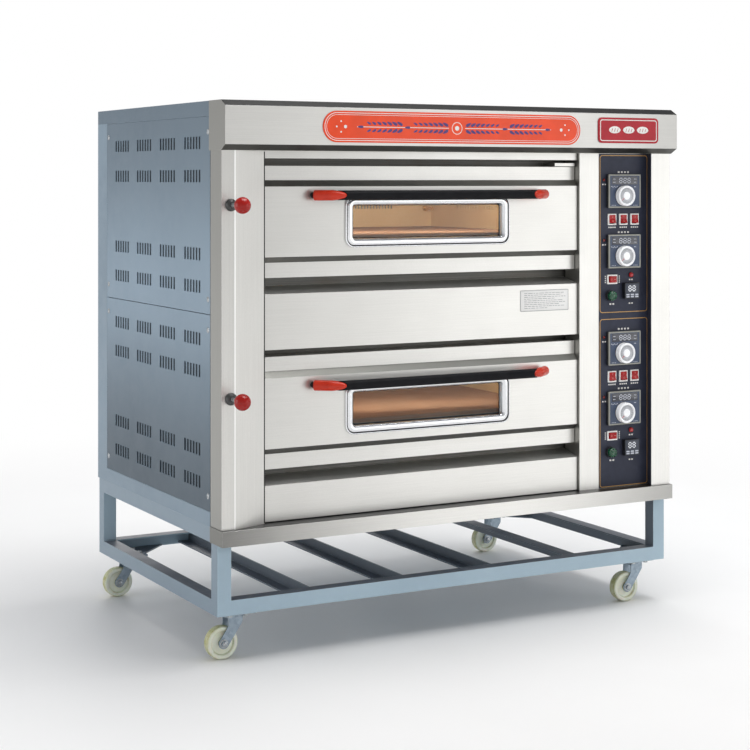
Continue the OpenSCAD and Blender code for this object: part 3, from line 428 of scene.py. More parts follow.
def glass(name):
    """Clear toughened pane: mostly see-through, with a reflection that grows at a glance, and a faint haze."""
    t = Tree(name)
    haze = t.noise(7.0, 4.0, 0.6)
    tr = t.node("ShaderNodeBsdfTransparent", {"Color": (0.96, 0.975, 0.97, 1)})
    gl = t.node("ShaderNodeBsdfGlossy", {"Color": (0.9, 0.93, 0.95, 1), "Roughness": t.rng(haze, 0.3, 0.7, 0.02, 0.06)})
    fr = t.node("ShaderNodeFresnel", {"IOR": 1.45})
    fac = t.math("MULTIPLY", fr.outputs[0], t.rng(haze, 0.3, 0.8, 0.45, 0.6))
    m = t.node("ShaderNodeMixShader", {"Fac": fac})
    t.nt.links.new(tr.outputs[0], m.inputs[1])
    t.nt.links.new(gl.outputs[0], m.inputs[2])
    t.nt.links.new(m.outputs[0], t.out.inputs["Surface"])
    return t.mat


def lens(name, base, emit=0.0):
    """Moulded transparent lamp lens with ribs inside."""
    t = Tree(name)
    ribs = t.node("ShaderNodeTexWave", {"Vector": t.coord(), "Scale": 260.0, "Distortion": 0.4}, wave_type="BANDS", bands_direction="X").outputs["Fac"]
    n1 = t.noise(90.0, 3.0, 0.5)
    b = lin(base)
    c = t.mix(t.rng(ribs, 0.2, 0.8, 0.0, 0.55), b, (b[0] * 0.35, b[1] * 0.35, b[2] * 0.35, 1))
    t.bsdf(color=c, rough=t.rng(n1, 0.3, 0.7, 0.08, 0.16), normal=t.bump(n1, 0.05, 0.0003), coat=0.6, coat_rough=0.05, emit=b, emit_s=emit, sss=0.2, sss_s=0.003)
    return t.mat


def nylon(name):
    """Ivory nylon tread with a yellowed, scuffed rim."""
    t = Tree(name)
    n1 = t.noise(45.0, 4.0, 0.6)
    n2 = t.noise(420.0, 3.0, 0.6)
    s = t.sep(t.geo().outputs["Normal"])
    c = t.mix(t.rng(n1, 0.3, 0.7, 0.0, 1.0), lin((240, 243, 230)), lin((228, 232, 210)))
    side = t.rng(t.math("ABSOLUTE", s[1]), 0.35, 0.85, 1.0, 0.0)
    c = t.mix(t.math("MULTIPLY", side, t.rng(n1, 0.35, 0.62, 0.45, 1.0)), c, lin((186, 184, 122)))
    scuff = t.math("MULTIPLY", side, t.rng(n2, 0.55, 0.72, 0.0, 0.7))
    c = t.mix(scuff, c, lin((96, 84, 62)))
    t.bsdf(color=c, rough=t.rng(n1, 0.3, 0.7, 0.32, 0.5), normal=t.bump(n2, 0.10, 0.0005, t.bevel(0.001, 4)), sss=0.15, sss_s=0.006)
    return t.mat


M = {}
M["stand_paint"] = paint("stand_paint_mat", (172, 196, 211), (165, 188, 203), (183, 206, 219), rough=0.45, bev=0.0014, gradient=stand_painted_shade)
M["body_paint"] = paint("body_paint_mat", (127, 147, 163), (119, 139, 155), (134, 155, 171), rough=0.40, bev=0.0014)
M["side_paint"] = paint("side_paint_mat", (134, 158, 176), (126, 150, 168), (141, 166, 184), rough=0.40, bev=0.0014, gradient=side_painted_shade, spec=0.16, coat=0.0)
M["stainless"] = steel("stainless_mat", axis="x")
M["stainless_up"] = steel("stainless_upright_mat", axis="z", slant=False)
M["stainless_inner"] = steel("stainless_inner_mat", base=(176, 174, 170), axis="x", rough=0.42, slant=False, dirty=0.35)
# painted shade: a dark steel for the recess walls of the front panels
M["recess_painted_shade_steel"] = steel("recess_steel_mat", base=(86, 86, 83), axis="x", rough=0.5, slant=False, dirty=0.25)
M["galvanised_sheet"] = zinc("galvanised_sheet_mat", (172, 178, 182), 0.42, 70.0, 0.02)
M["zinc_plate"] = zinc("zinc_plate_mat", (190, 194, 196), 0.30, 220.0, 0.05)
M["fork_zinc"] = zinc("fork_zinc_mat", (158, 172, 184), 0.38, 130.0, 0.12)
M["chamber_steel"] = chamber_mat("chamber_steel_mat", (232, 200, 150), (204, 168, 118), 0.5, 0.10)
M["hearth_steel"] = chamber_mat("hearth_steel_mat", (172, 130, 100), (140, 100, 72), 0.78, 0.05)
M["brass"] = chrome("brass_mat", (214, 168, 92), 0.26)
M["mineral_wool"] = wool("mineral_wool_mat")
M["gas_pipe"] = zinc("gas_pipe_mat", (150, 146, 136), 0.5, 90.0, 0.14)
M["control_sheet"] = plastic("control_sheet_mat", (50, 54, 70), 0.46, 2200.0, 0.10, bump=0.10, bev=0.0005, spec=0.26)
M["black_plastic"] = plastic("black_plastic_mat", (30, 32, 37), 0.34, 1500.0, 0.18, coat=0.1, bump=0.06)
M["handle_black"] = plastic("handle_black_mat", (12, 13, 17), 0.50, 900.0, 0.20, bump=0.10, spec=0.14)
M["chrome_trim"] = chrome("chrome_trim_mat")
M["window_glass"] = glass("window_glass_mat")
M["red_plastic"] = plastic("red_plastic_mat", (158, 20, 12), 0.13, 900.0, 0.10, coat=0.0, bump=0.02, sss=0.04, spec=0.34)
M["cap_red"] = plastic("cap_red_mat", (202, 48, 22), 0.16, 900.0, 0.10, coat=0.0, bump=0.02, sss=0.04, spec=0.34)
# the emit on rocker_red, silver_dial, white_plastic, digit and digit_white is a painted glow: these parts are no lamps
M["rocker_red"] = plastic("rocker_red_mat", (158, 12, 16), 0.20, 900.0, 0.12, coat=0.1, bump=0.02, sss=0.06, emit=0.12, spec=0.3)
M["silver_dial"] = plastic("dial_white_mat", (246, 247, 249), 0.26, 900.0, 0.03, coat=0.4, bump=0.02, emit=0.12)
M["dial_ring"] = plastic("dial_ring_mat", (192, 194, 199), 0.36, 2600.0, 0.14, coat=0.1, bump=0.20)
M["green_plastic"] = plastic("green_plastic_mat", (6, 80, 50), 0.14, 900.0, 0.18, coat=0.7, bump=0.02, sss=0.1)
M["ivory_nylon"] = nylon("ivory_nylon_mat")
M["white_plastic"] = plastic("white_plastic_mat", (246, 246, 243), 0.32, 1600.0, 0.03, coat=0.1, bump=0.03, emit=0.10)
M["slate_face"] = plastic("slate_face_mat", (62, 76, 102), 0.36, 2400.0, 0.08, coat=0.1, bump=0.06)
M["rim_grey"] = plastic("rim_grey_mat", (150, 150, 142), 0.34, 1500.0, 0.08, coat=0.1, bump=0.05)
M["display_dark"] = plastic("display_dark_mat", (44, 47, 58), 0.14, 900.0, 0.10, coat=0.6, bump=0.01)
M["digit"] = plastic("digit_mat", (186, 190, 200), 0.40, 900.0, 0.05, bump=0.02, emit=0.12)
M["digit_white"] = plastic("digit_white_mat", (216, 220, 226), 0.40, 900.0, 0.05, bump=0.02, emit=0.2)
M["banner_red"] = enamel("banner_enamel_mat", (232, 74, 34))
M["badge_red"] = enamel("badge_enamel_mat", (170, 14, 34))
M["white_ink"] = ink("white_ink_mat", (238, 236, 232))
M["grey_ink"] = ink("grey_ink_mat", (150, 152, 154))
M["navy_ink"] = ink("navy_ink_mat", (74, 60, 120))
M["gold_line"] = ink("gold_line_mat", (198, 152, 88), 0.34)
M["red_ink"] = ink("red_ink_mat", (206, 60, 54))
M["rocker_mark"] = ink("rocker_mark_mat", (214, 120, 112))
M["timer_slate"] = plastic("timer_slate_mat", (44, 52, 68), 0.36, 2400.0, 0.08, coat=0.1, bump=0.06)
M["display_grey"] = plastic("display_grey_mat", (70, 74, 84), 0.2, 900.0, 0.08, coat=0.4, bump=0.01)
M["placard"] = enamel("placard_mat", (246, 246, 244), 0.35, 0.02)
M["lamp_red"] = lens("lamp_red_mat", (176, 22, 28), 0.15)
M["led_red"] = lens("led_red_mat", (120, 12, 16), 0.1)
M["led_off"] = lens("led_off_mat", (44, 10, 12), 0.0)
M["collar_grey"] = plastic("collar_grey_mat", (58, 58, 58), 0.30, 1500.0, 0.12, coat=0.1, bump=0.06)
# near black for painted shade in gaps, grooves, screw recesses, beside the window pane and behind the louvres; also the
# wheel bushes
M["dark_gap"] = plastic("dark_gap_mat", (16, 17, 18), 0.7, 900.0, 0.2, bump=0.05)


# ------------------------------------------------------------------ mesh helpers
def finish_mesh(name, verts, faces, body, mats, face_mats=None, sharp=32.0, smooth=True):
    me = bpy.data.meshes.new(name)
    me.from_pydata([tuple(v) for v in verts], [], faces)
    if not isinstance(mats, (list, tuple)):
        mats = [mats]
    for m in mats:
        me.materials.append(M[m] if isinstance(m, str) else m)
    if face_mats:
        me.polygons.foreach_set("material_index", face_mats)
    me.validate()
    me.update()
    if smooth:
        me.polygons.foreach_set("use_smooth", [True] * len(me.polygons))
        me.set_sharp_from_angle(angle=math.radians(sharp))
    o = bpy.data.objects.new(name, me)
    bpy.context.scene.collection.objects.link(o)
    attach(o, body)
    return o


class Shape:
    """Collects vertices and faces of one piece, in drawing millimetres."""

    def __init__(self):
        self.v, self.f, self.m = [], [], []

    def add(self, verts, faces, mi=0):
        k = len(self.v)
        self.v += [P(*p) for p in verts]
        for f in faces:
            self.f.append([i + k for i in f])
            self.m.append(mi)

    def loft(self, loops, cap0=True, cap1=True, mi=0, mis=None, closed=True):
        """Joins successive loops of the same length with quads."""
        n = len(loops[0])
        k = len(self.v)
        for lp in loops:
            self.v += [P(*p) for p in lp]
        for a in range(len(loops) - 1):
            for i in range(n if closed else n - 1):
                j = (i + 1) % n
                self.f.append([k + a * n + i, k + a * n + j, k + (a + 1) * n + j, k + (a + 1) * n + i])
                self.m.append(mis[a] if mis else mi)
        if cap0:
            self.f.append([k + i for i in range(n - 1, -1, -1)])
            self.m.append(mis[0] if mis else mi)
        if cap1:
            q = k + (len(loops) - 1) * n
            self.f.append([q + i for i in range(n)])
            self.m.append(mis[-1] if mis else mi)

    def ring(self, loops, mi=0):
        """Loops joined in a closed cycle, last back to first (a frame)."""
        self.loft(loops + [loops[0]], cap0=False, cap1=False, mi=mi)

    def box(self, a, b, mi=0, bev=0.0):
        x0, y0, z0 = a
        x1, y1, z1 = b
        if bev <= 0:
            vs = [(x0, y0, z0), (x1, y0, z0), (x1, y0, z1), (x0, y0, z1), (x0, y1, z0), (x1, y1, z0), (x1, y1, z1), (x0, y1, z1)]
            self.add(vs, [(0, 1, 2, 3), (5, 4, 7, 6), (4, 0, 3, 7), (1, 5, 6, 2), (3, 2, 6, 7), (4, 5, 1, 0)], mi)
        else:
            e = bev
            loops = [rect(x0 + e, z0 + e, x1 - e, z1 - e, y0), rect(x0, z0, x1, z1, y0 + e), rect(x0, z0, x1, z1, y1)]
            self.loft(loops, mi=mi)

    def make(self, name, body, mats, sharp=32.0, smooth=True):
        return finish_mesh(name, self.v, self.f, body, mats, self.m, sharp, smooth)


def rect(x0, z0, x1, z1, y):
    return [(x0, y, z0), (x1, y, z0), (x1, y, z1), (x0, y, z1)]


def rrect(cx, cz, w, h, r, y, n=8):
    """Rounded rectangle loop in an X-Z plane."""
    pts = []
    r = max(0.01, min(r, w / 2 - 0.01, h / 2 - 0.01))
    for (sx, sz, a0) in ((1, -1, -90), (1, 1, 0), (-1, 1, 90), (-1, -1, 180)):
        for i in range(n + 1):
            a = math.radians(a0 + 90.0 * i / n)
            pts.append((cx + sx * (w / 2 - r) + r * math.cos(a), y, cz + sz * (h / 2 - r) + r * math.sin(a)))
    return pts


def circle(cx, cz, r, y, n=48, lobes=0, depth=0.0):
    pts = []
    for i in range(n):
        a = 2 * math.pi * i / n
        rr = r - (depth * (0.5 + 0.5 * math.cos(lobes * a)) if lobes else 0.0)
        pts.append((cx + rr * math.cos(a), y, cz + rr * math.sin(a)))
    return pts


def ring_plate(sh, cx, cz, w, h, r, line, y0, y1, mi=0, n=10):
    """A raised line that follows a rounded rectangle."""
    a = rrect(cx, cz, w, h, r, y1, n)
    b = rrect(cx, cz, w, h, r, y0, n)
    c = rrect(cx, cz, w - 2 * line, h - 2 * line, max(0.3, r - line), y0, n)
    d = rrect(cx, cz, w - 2 * line, h - 2 * line, max(0.3, r - line), y1, n)
    sh.ring([a, b, c, d], mi)


def pill(sh, cx, cz, w, h, y0, y1, mi=0, r=None, n=5):
    """A small raised mark with rounded ends."""
    rr = min(w, h) * 0.48 if r is None else r
    sh.loft([rrect(cx, cz, w, h, rr, y1, n), rrect(cx, cz, w, h, rr, y0 + 0.05, n), rrect(cx, cz, w - 0.1, h - 0.1, rr, y0, n)], cap0=False, mi=mi)


def lathe_y(sh, cx, cz, prof, n=64, mis=None, cap0=False, cap1=True):
    """prof: list of (r, y) or (r, y, lobes, depth), from the back to the front."""
    loops = []
    for p in prof:
        if len(p) == 2:
            loops.append(circle(cx, cz, p[0], p[1], n))
        else:
            loops.append(circle(cx, cz, p[0], p[1], n, p[2], p[3]))
    sh.loft(loops, cap0=cap0, cap1=cap1, mis=mis if mis else [0] * len(loops))


SEG = {"a": (0.0, 1.0, 1), "g": (0.0, 0.0, 1), "d": (0.0, -1.0, 1), "f": (-1, 0.5, 0), "b": (1, 0.5, 0), "e": (-1, -0.5, 0), "c": (1, -0.5, 0)}


def digit(sh, cx, cz, w, h, t, segs, y0, y1, slant=0.08, mi=0):
    """Seven-segment digit: each lit bar is a small six-sided tablet."""
    for s in segs:
        sx, sz, horiz = SEG[s]
        px, pz = cx + sx * w / 2, cz + sz * h / 2
        if horiz:
            l = w - t * 0.6
            loop = [(-l / 2, 0), (-l / 2 + t / 2, -t / 2), (l / 2 - t / 2, -t / 2), (l / 2, 0), (l / 2 - t / 2, t / 2), (-l / 2 + t / 2, t / 2)]
        else:
            l = h / 2 - t * 0.6
            loop = [(0, -l / 2), (t / 2, -l / 2 + t / 2), (t / 2, l / 2 - t / 2), (0, l / 2), (-t / 2, l / 2 - t / 2), (-t / 2, -l / 2 + t / 2)]
        pts = [(px + a + slant * (pz + b - cz), pz + b) for a, b in loop]
        sh.loft([[(x, y1, z) for x, z in pts], [(x, y0, z) for x, z in pts]], cap0=False, mi=mi)


def tube(sh, path, radius, n=12, mi=0, bump=0.0, seed=1):
    """A tube along a path in drawing millimetres, with optional ripple, as a weld bead has."""
    rnd = random.Random(seed)
    loops = []
    for i, p in enumerate(path):
        a = Vector(path[max(0, i - 1)])
        b = Vector(path[min(len(path) - 1, i + 1)])
        d = (b - a).normalized()
        u = d.orthogonal().normalized()
        if abs(d.dot(Vector((0, 0, 1)))) < 0.9:
            u = d.cross(Vector((0, 0, 1))).normalized()
        w = d.cross(u).normalized()
        end = 0.45 if i in (0, len(path) - 1) and bump else 1.0
        r = radius * end * (1 + bump * (math.sin(i * 1.9) * 0.6 + rnd.uniform(-0.4, 0.4)))
        loops.append([tuple(Vector(p) + (u * math.cos(2 * math.pi * k / n) + w * math.sin(2 * math.pi * k / n)) * r) for k in range(n)])
    sh.loft(loops, mi=mi)


# ------------------------------------------------------------------ CAD node materials
def assign(node, mats, pick=None):
    """Gives a CAD node its materials. pick(centre in drawing mm, normal) returns an index."""
    o = nodes[node]
    me = o.data
    me.materials.clear()
    for m in (mats if isinstance(mats, (list, tuple)) else [mats]):
        me.materials.append(M[m])
    if pick is None:
        me.polygons.foreach_set("material_index", [0] * len(me.polygons))
    else:
        idx = []
        for p in me.polygons:
            c = p.center
            idx.append(pick(c.x * 1000 - OX, c.y * 1000 - OY, c.z * 1000, p.normal))
        me.polygons.foreach_set("material_index", idx)
    return o


def near(x, z, pts, dx, dz):
    return any(abs(x - a) <= dx and abs(z - b) <= dz for a, b in pts)


assign("stand_frame", "stand_paint")
assign("stand_shelf_bars", "stand_paint")
assign("caster_top_plates", "fork_zinc")
assign("body_frame", "body_paint")
assign("base_skirt", "stainless")
assign("side_panel_left", "side_paint")
assign("side_panel_right", "side_paint")
assign("back_panel", "galvanised_sheet")
assign("top_cover", "side_paint")
assign("crown_fascia", "stainless")
assign("name_plates", ["banner_red", "badge_red"], lambda x, y, z, n: 1 if x > 380 else 0)
assign("left_pillar", "stainless_up")
assign("right_pillar", "stainless_up")
# faces set back past y 100 take the dark steel of the painted shade
assign("front_panels", ["stainless", "recess_painted_shade_steel"], lambda x, y, z, n: 1 if y > 100 else 0)
assign("chamber_liners", ["chamber_steel", "brass"], lambda x, y, z, n: 1 if (abs(x - 333) < 9.3 and y > 708 and any(abs(z - d - 152) < 9.2 for d in DECK) and y < 756) else 0)
assign("hearth_plates", "hearth_steel")
assign("insulation", "mineral_wool")
assign("gas_train", "gas_pipe")
assign("flue_stack", "galvanised_sheet")
assign("control_plate", "control_sheet")
assign("damper_collars", "collar_grey")
assign("hinge_brackets", "zinc_plate")
assign("fasteners", "zinc_plate")


def pick_module(x, y, z, n):
    if y > PLATE_Y + 0.3:
        return 2
    if near(x, z, [(CTL_X, s) for s in STAT_Z], 53.0, 45.2):
        return 2
    if near(x, z, TIMERS, 24.3, 21.6):
        return 2
    if near(x, z, LAMPS, 7.0, 7.0):
        return 3
    if near(x, z, LEDS, 4.2, 4.2):
        return 4
    if near(x, z, GREENS, 14.5, 14.5):
        return 0
    return 1


assign("control_modules", ["black_plastic", "white_plastic", "display_dark", "lamp_red", "led_red"], pick_module)
for d in ("upper", "lower"):
    assign(f"door_{d}_skin", "stainless")
    assign(f"door_{d}_liner", "stainless_inner")
    assign(f"door_{d}_bezel", "chrome_trim")
    assign(f"door_{d}_glass", "window_glass")
    assign(f"door_{d}_handle", "handle_black")
    assign(f"door_{d}_caps", "cap_red")
    assign(f"damper_{d}", ["red_plastic", "zinc_plate"], lambda x, y, z, n: 1 if y > -47.6 else 0)
    for k in ("top", "bottom"):
        assign(f"dial_{d}_{k}", "silver_dial")
    for k in "abcd":
        assign(f"rocker_{d}_{k}", "rocker_red")
    assign(f"button_{d}", "green_plastic")
for c in CASTERS:
    assign(f"fork_{c}", "fork_zinc")
    assign(f"wheel_{c}", "ivory_nylon")


# ------------------------------------------------------------------ control panel
def outlines():
    for name, z0, z1 in (("upper", 795.0, 1220.0), ("lower", 325.5, 778.5)):
        sh = Shape()
        ring_plate(sh, 531.3, (z0 + z1) / 2, 159.4, z1 - z0, 9.0, 2.1, PLATE_Y - 0.25, PLATE_Y + 0.05)
        sh.make(f"control_outline_{name}", ROOT, "gold_line")


TAGS = ("upper_top", "upper_bottom", "lower_top", "lower_bottom")


def thermostat(i):
    z = STAT_Z[i]
    tag = TAGS[i]
    w, h = STAT_W + 0.6, STAT_H + 0.6
    f = PLATE_Y - STAT_OUT
    # black case between the plate and the rim, painted black as the shade on the sides of the box
    sh = Shape()
    sh.ring([rrect(CTL_X, z, w, h, 1.5, PLATE_Y), rrect(CTL_X, z, w, h, 1.5, f + 4.2), rrect(CTL_X, z, w - 1.4, h - 1.4, 1.2, f + 3.8), rrect(CTL_X, z, w - 1.4, h - 1.4, 1.2, PLATE_Y)])
    sh.make(f"thermostat_case_{tag}", ROOT, "black_plastic")
    # grey rim with a chamfer and a step down to the face
    sh = Shape()
    sh.ring([rrect(CTL_X, z, w, h, 1.5, f + 4.1), rrect(CTL_X, z, w + 0.4, h + 0.4, 1.8, f + 3.7), rrect(CTL_X, z, w + 0.4, h + 0.4, 1.8, f - 0.2),
             rrect(CTL_X, z, w - 0.6, h - 0.6, 1.6, f - 1.0), rrect(CTL_X, z, w - 7.0, h - 7.0, 1.0, f - 1.0), rrect(CTL_X, z, w - 7.8, h - 7.8, 0.8, f - 0.1),
             rrect(CTL_X, z, w - 8.2, h - 8.2, 0.8, f + 3.0)])
    sh.make(f"thermostat_rim_{tag}", ROOT, "rim_grey")
    # slate face with the display window cut out
    sh = Shape()
    o1 = rrect(CTL_X, z, w - 7.2, h - 7.2, 1.0, f - 0.20)
    o2 = rrect(CTL_X, z, w - 7.8, h - 7.8, 1.0, f - 0.40)
    i2 = rrect(CTL_X, z + 28.6, 86.0, 22.0, 1.0, f - 0.40)
    i1 = rrect(CTL_X, z + 28.6, 85.0, 21.0, 0.8, f + 0.4)
    sh.loft([o1, o2, i2, i1], cap0=False, cap1=False)
    sh.make(f"thermostat_face_{tag}", ROOT, "slate_face")
    # display pane
    sh = Shape()
    sh.loft([rrect(CTL_X, z + 28.6, 86.0, 22.0, 1.0, f + 0.5), rrect(CTL_X, z + 28.6, 86.0, 22.0, 1.0, f + 0.1), rrect(CTL_X, z + 28.6, 85.2, 21.2, 0.8, f - 0.05)], cap0=False)
    sh.make(f"thermostat_display_{tag}", ROOT, "display_dark")
    # three digits, unlit, all bars showing
    sh = Shape()
    for k in (-1, 0, 1):
        digit(sh, CTL_X + 0.6 + k * 13.8, z + 28.6, 8.8, 12.6, 2.1, "abcdefg", f - 0.30, f - 0.04)
    sh.make(f"thermostat_digits_{tag}", ROOT, "digit")
    # small marks at the sides of the display and at the foot of the face
    sh = Shape()
    for sx in (-1, 1):
        for dz in (32.5, 24.0):
            pill(sh, CTL_X + sx * 34.6, z + dz, 8.0, 1.5, f - 0.25, f - 0.02)
    for k in range(5):
        pill(sh, CTL_X - 44.0 + k * 4.7, z + 12.4 - (k % 2) * 1.6, 3.4, 2.4, f - 0.56, f - 0.34)
    # a plain dash on the other side
    pill(sh, CTL_X + 34.0, z + 11.6, 7.0, 1.8, f - 0.56, f - 0.34)
    for k in range(3):
        pill(sh, CTL_X - 42.0 + k * 5.2, z - 38.2, 3.6, 1.3, f - 0.56, f - 0.34)
        pill(sh, CTL_X + 30.0 + k * 5.2, z - 38.2, 3.6, 1.3, f - 0.56, f - 0.34)
    sh.make(f"thermostat_marks_{tag}", ROOT, "digit")
    # painted shadow: a dark ring round the dial
    sh = Shape()
    n = 64
    cz = z - 12.5
    sh.loft([circle(DIAL_X, cz, 29.2, f - 0.38, n), circle(DIAL_X, cz, 29.0, f - 0.50, n), circle(DIAL_X, cz, 26.0, f - 0.50, n)], cap0=False, cap1=False)
    sh.make(f"thermostat_shadow_ring_{tag}", ROOT, "display_dark")


def dial(i):
    """Deep dial with a smooth white flank, a grained grey ring and a white hub; it stands for the CAD dial."""
    z = STAT_Z[i] - 12.5
    x = DIAL_X
    tag = TAGS[i]
    f = PLATE_Y - STAT_OUT
    body = f"dial_{tag}_body"
    sh = Shape()
    prof = [(3.0, f + 17.5), (3.0, f - 0.65), (27.1, f - 0.65), (27.4, f - 1.1), (27.45, f - 6.9), (27.1, f - 7.4), (27.1, f - 8.0), (27.45, f - 8.5), (27.45, f - 14.2), (27.1, f - 15.6),
            (26.3, f - 16.4), (25.2, f - 16.9), (24.2, f - 16.8), (22.9, f - 16.2), (21.9, f - 15.2), (21.5, f - 14.5)]
    lathe_y(sh, x, z, prof, 128, cap0=True, cap1=False)
    o = sh.make(f"dial_shell_{tag}", body, "silver_dial", sharp=40)
    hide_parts(f"dial_{tag}")
    sh = Shape()
    lathe_y(sh, x, z, [(21.8, f - 14.6), (21.3, f - 14.75), (16.0, f - 14.3), (10.9, f - 13.7), (10.6, f - 13.4)], 96, cap0=False, cap1=False)
    sh.make(f"dial_ring_{tag}", body, "dial_ring")
    sh = Shape()
    lathe_y(sh, x, z, [(10.8, f - 13.5), (10.7, f - 14.4), (10.2, f - 15.0), (9.4, f - 15.2), (7.6, f - 15.15), (0.02, f - 15.1)], 96)
    sh.make(f"dial_hub_{tag}", body, "silver_dial")

    def ray(sh, ang, r0, r1, tw, y0, y1):
        a = math.radians(ang)
        ca, sa = math.cos(a), math.sin(a)
        pts = [(x + r0 * ca - tw * sa, z + r0 * sa + tw * ca), (x + r0 * ca + tw * sa, z + r0 * sa - tw * ca),
               (x + r1 * ca + tw * sa, z + r1 * sa - tw * ca), (x + r1 * ca - tw * sa, z + r1 * sa + tw * ca)]
        sh.loft([[(u, y0, v) for u, v in pts], [(u, y1, v) for u, v in pts]], cap0=False)

    # fine printed rays and ticks, and the pointer line
    sh = Shape()
    for k in range(60):
        if 35 <= k <= 38:
            continue
        ray(sh, k * 6.0, 17.8 if k % 3 else 15.4, 20.8, 0.16 if k % 3 else 0.28, f - 14.2, f - 14.95)
    sh.make(f"dial_ticks_{tag}", body, "grey_ink")
    sh = Shape()
    ray(sh, 218, 11.2, 20.8, 0.45, f - 14.0, f - 15.0)
    sh.make(f"dial_pointer_{tag}", body, "red_ink")


def rocker_frame(name, x, z, ow, oh, iw, ih):
    """White bezel with rounded corners, set over the CAD bezel."""
    sh = Shape()
    y = PLATE_Y
    W, H = ow + 0.5, oh + 0.5
    sh.ring([rrect(x, z, W, H, 3.4, y), rrect(x, z, W, H, 3.4, y - 2.2), rrect(x, z, W - 1.0, H - 1.0, 3.2, y - 3.5), rrect(x, z, W - 2.4, H - 2.4, 2.6, y - 3.9),
             rrect(x, z, iw + 0.4, ih + 0.4, 1.6, y - 3.6), rrect(x, z, iw - 0.1, ih - 0.1, 1.3, y - 3.0), rrect(x, z, iw - 0.1, ih - 0.1, 1.3, y + 3.0)])
    sh.make(name, ROOT, "white_plastic")


def rocker_marks(name, body, x, z, single, l):
    """Two moulded marks on the rocker: a bar and a ring. They follow the resting tilt of 7 degrees."""
    sh = Shape()
    c = PLATE_Y + 4.0

    def tilt(px, py, pz):
        # row rockers tilt about X, the single one about Z
        a = math.radians(-7.0)
        y2 = py * math.cos(a) - pz * math.sin(a)
        z2 = py * math.sin(a) + pz * math.cos(a)
        if single:
            return (x + z2, c + y2, z - px)
        return (x + px, c + y2, z + z2)

    def surf(zz):
        return -8.8 - 1.8 * abs(zz) / (l - 0.3)

    def flat(loop, pz, d0):
        return [tilt(a, surf(pz + b) + d0, pz + b) for a, b in loop]

    bar = [(-0.7, -2.6), (0.7, -2.6), (0.7, 2.6), (-0.7, 2.6)]
    sh.loft([flat(bar, l * 0.5, 0.15), flat(bar, l * 0.5, -0.18)], cap0=False)
    n = 20
    outer = [(2.7 * math.cos(2 * math.pi * k / n), 2.7 * math.sin(2 * math.pi * k / n)) for k in range(n)]
    inner = [(1.8 * math.cos(2 * math.pi * k / n), 1.8 * math.sin(2 * math.pi * k / n)) for k in range(n)]
    sh.ring([flat(outer, -l * 0.5, 0.15), flat(outer, -l * 0.5, -0.18), flat(inner, -l * 0.5, -0.18), flat(inner, -l * 0.5, 0.15)])
    sh.make(name, body, "rocker_mark")


def green_button(i, d):
    """Faceted green cap in a ribbed black collar."""
    x, z = GREENS[i]
    y = PLATE_Y
    sh = Shape()
    lathe_y(sh, x, z, [(9.2, y + 1.0), (14.6, y + 0.0), (14.6, y - 1.2), (14.4, y - 1.6, 36, 0.5), (14.4, y - 8.6, 36, 0.5), (14.3, y - 9.4), (13.9, y - 10.5), (13.35, y - 10.5), (13.3, y - 5.2)], 144, cap0=False, cap1=False)
    sh.make(f"button_collar_{d}", ROOT, "black_plastic")
    sh = Shape()
    prof = [(9.0, y + 23.9), (9.0, y - 8.5), (12.5, y - 8.7), (13.0, y - 9.2, 12, 1.2), (13.0, y - 16.8, 12, 1.2), (12.6, y - 17.6), (12.4, y - 18.0), (12.2, y - 18.6, 12, 1.4), (11.0, y - 20.2, 12, 1.0), (9.6, y - 21.2, 12, 0.4),
            (8.6, y - 21.7), (7.9, y - 21.3), (6.4, y - 20.2), (4.4, y - 19.8), (3.6, y - 20.6), (2.6, y - 20.9), (0.02, y - 20.9)]
    lathe_y(sh, x, z, prof, 144, cap0=True)
    o = sh.make(f"button_cap_{d}", f"button_{d}_body", "green_plastic", sharp=30)
    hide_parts(f"button_{d}")


def timer(i, d):
    x, z = TIMERS[i]
    f = PLATE_Y - TIMER_OUT
    # black case, painted black as the shade on the sides of the box
    sh = Shape()
    w, h = 48.6, 43.0
    sh.ring([rrect(x, z, w, h, 1.6, PLATE_Y), rrect(x, z, w, h, 1.6, f - 0.2), rrect(x, z, w - 1.0, h - 1.0, 1.6, f - 0.9), rrect(x, z, w - 3.0, h - 3.0, 1.0, f - 0.9), rrect(x, z, w - 3.8, h - 3.8, 1.0, f - 0.1)])
    sh.make(f"timer_case_{d}", ROOT, "black_plastic")
    sh = Shape()
    sh.loft([rrect(x, z, w - 3.2, h - 3.2, 1.0, f - 0.02), rrect(x, z, w - 3.2, h - 3.2, 1.0, f - 0.3), rrect(x, z, w - 3.8, h - 3.8, 1.0, f - 0.5)], cap0=False)
    sh.make(f"timer_face_{d}", ROOT, "timer_slate")
    sh = Shape()
    sh.loft([rrect(x - 1, z + 6.3, 29.0, 19.5, 0.8, f - 0.4), rrect(x - 1, z + 6.3, 29.0, 19.5, 0.8, f - 0.62), rrect(x - 1, z + 6.3, 28.4, 18.9, 0.8, f - 0.72)], cap0=False)
    sh.make(f"timer_display_{d}", ROOT, "display_grey")
    sh = Shape()
    for k in (-1, 1):
        digit(sh, x - 1 + k * 6.6, z + 6.3, 8.6, 13.6, 2.9, "abcdefg", f - 1.0, f - 0.7, slant=0.0)
    sh.make(f"timer_digits_{d}", ROOT, "digit_white")
    sh = Shape()
    for r in range(2):
        for c in (-1, 0, 1):
            cx, cz = x + c * 14.8, z - 10.4 - r * 5.6
            sh.loft([rrect(cx, cz, 10.6, 3.9, 1.0, f - 0.4), rrect(cx, cz, 10.6, 3.9, 1.0, f - 1.0), rrect(cx, cz, 9.8, 3.1, 0.8, f - 1.4)], cap0=False)
    sh.make(f"timer_keys_{d}", ROOT, "digit")


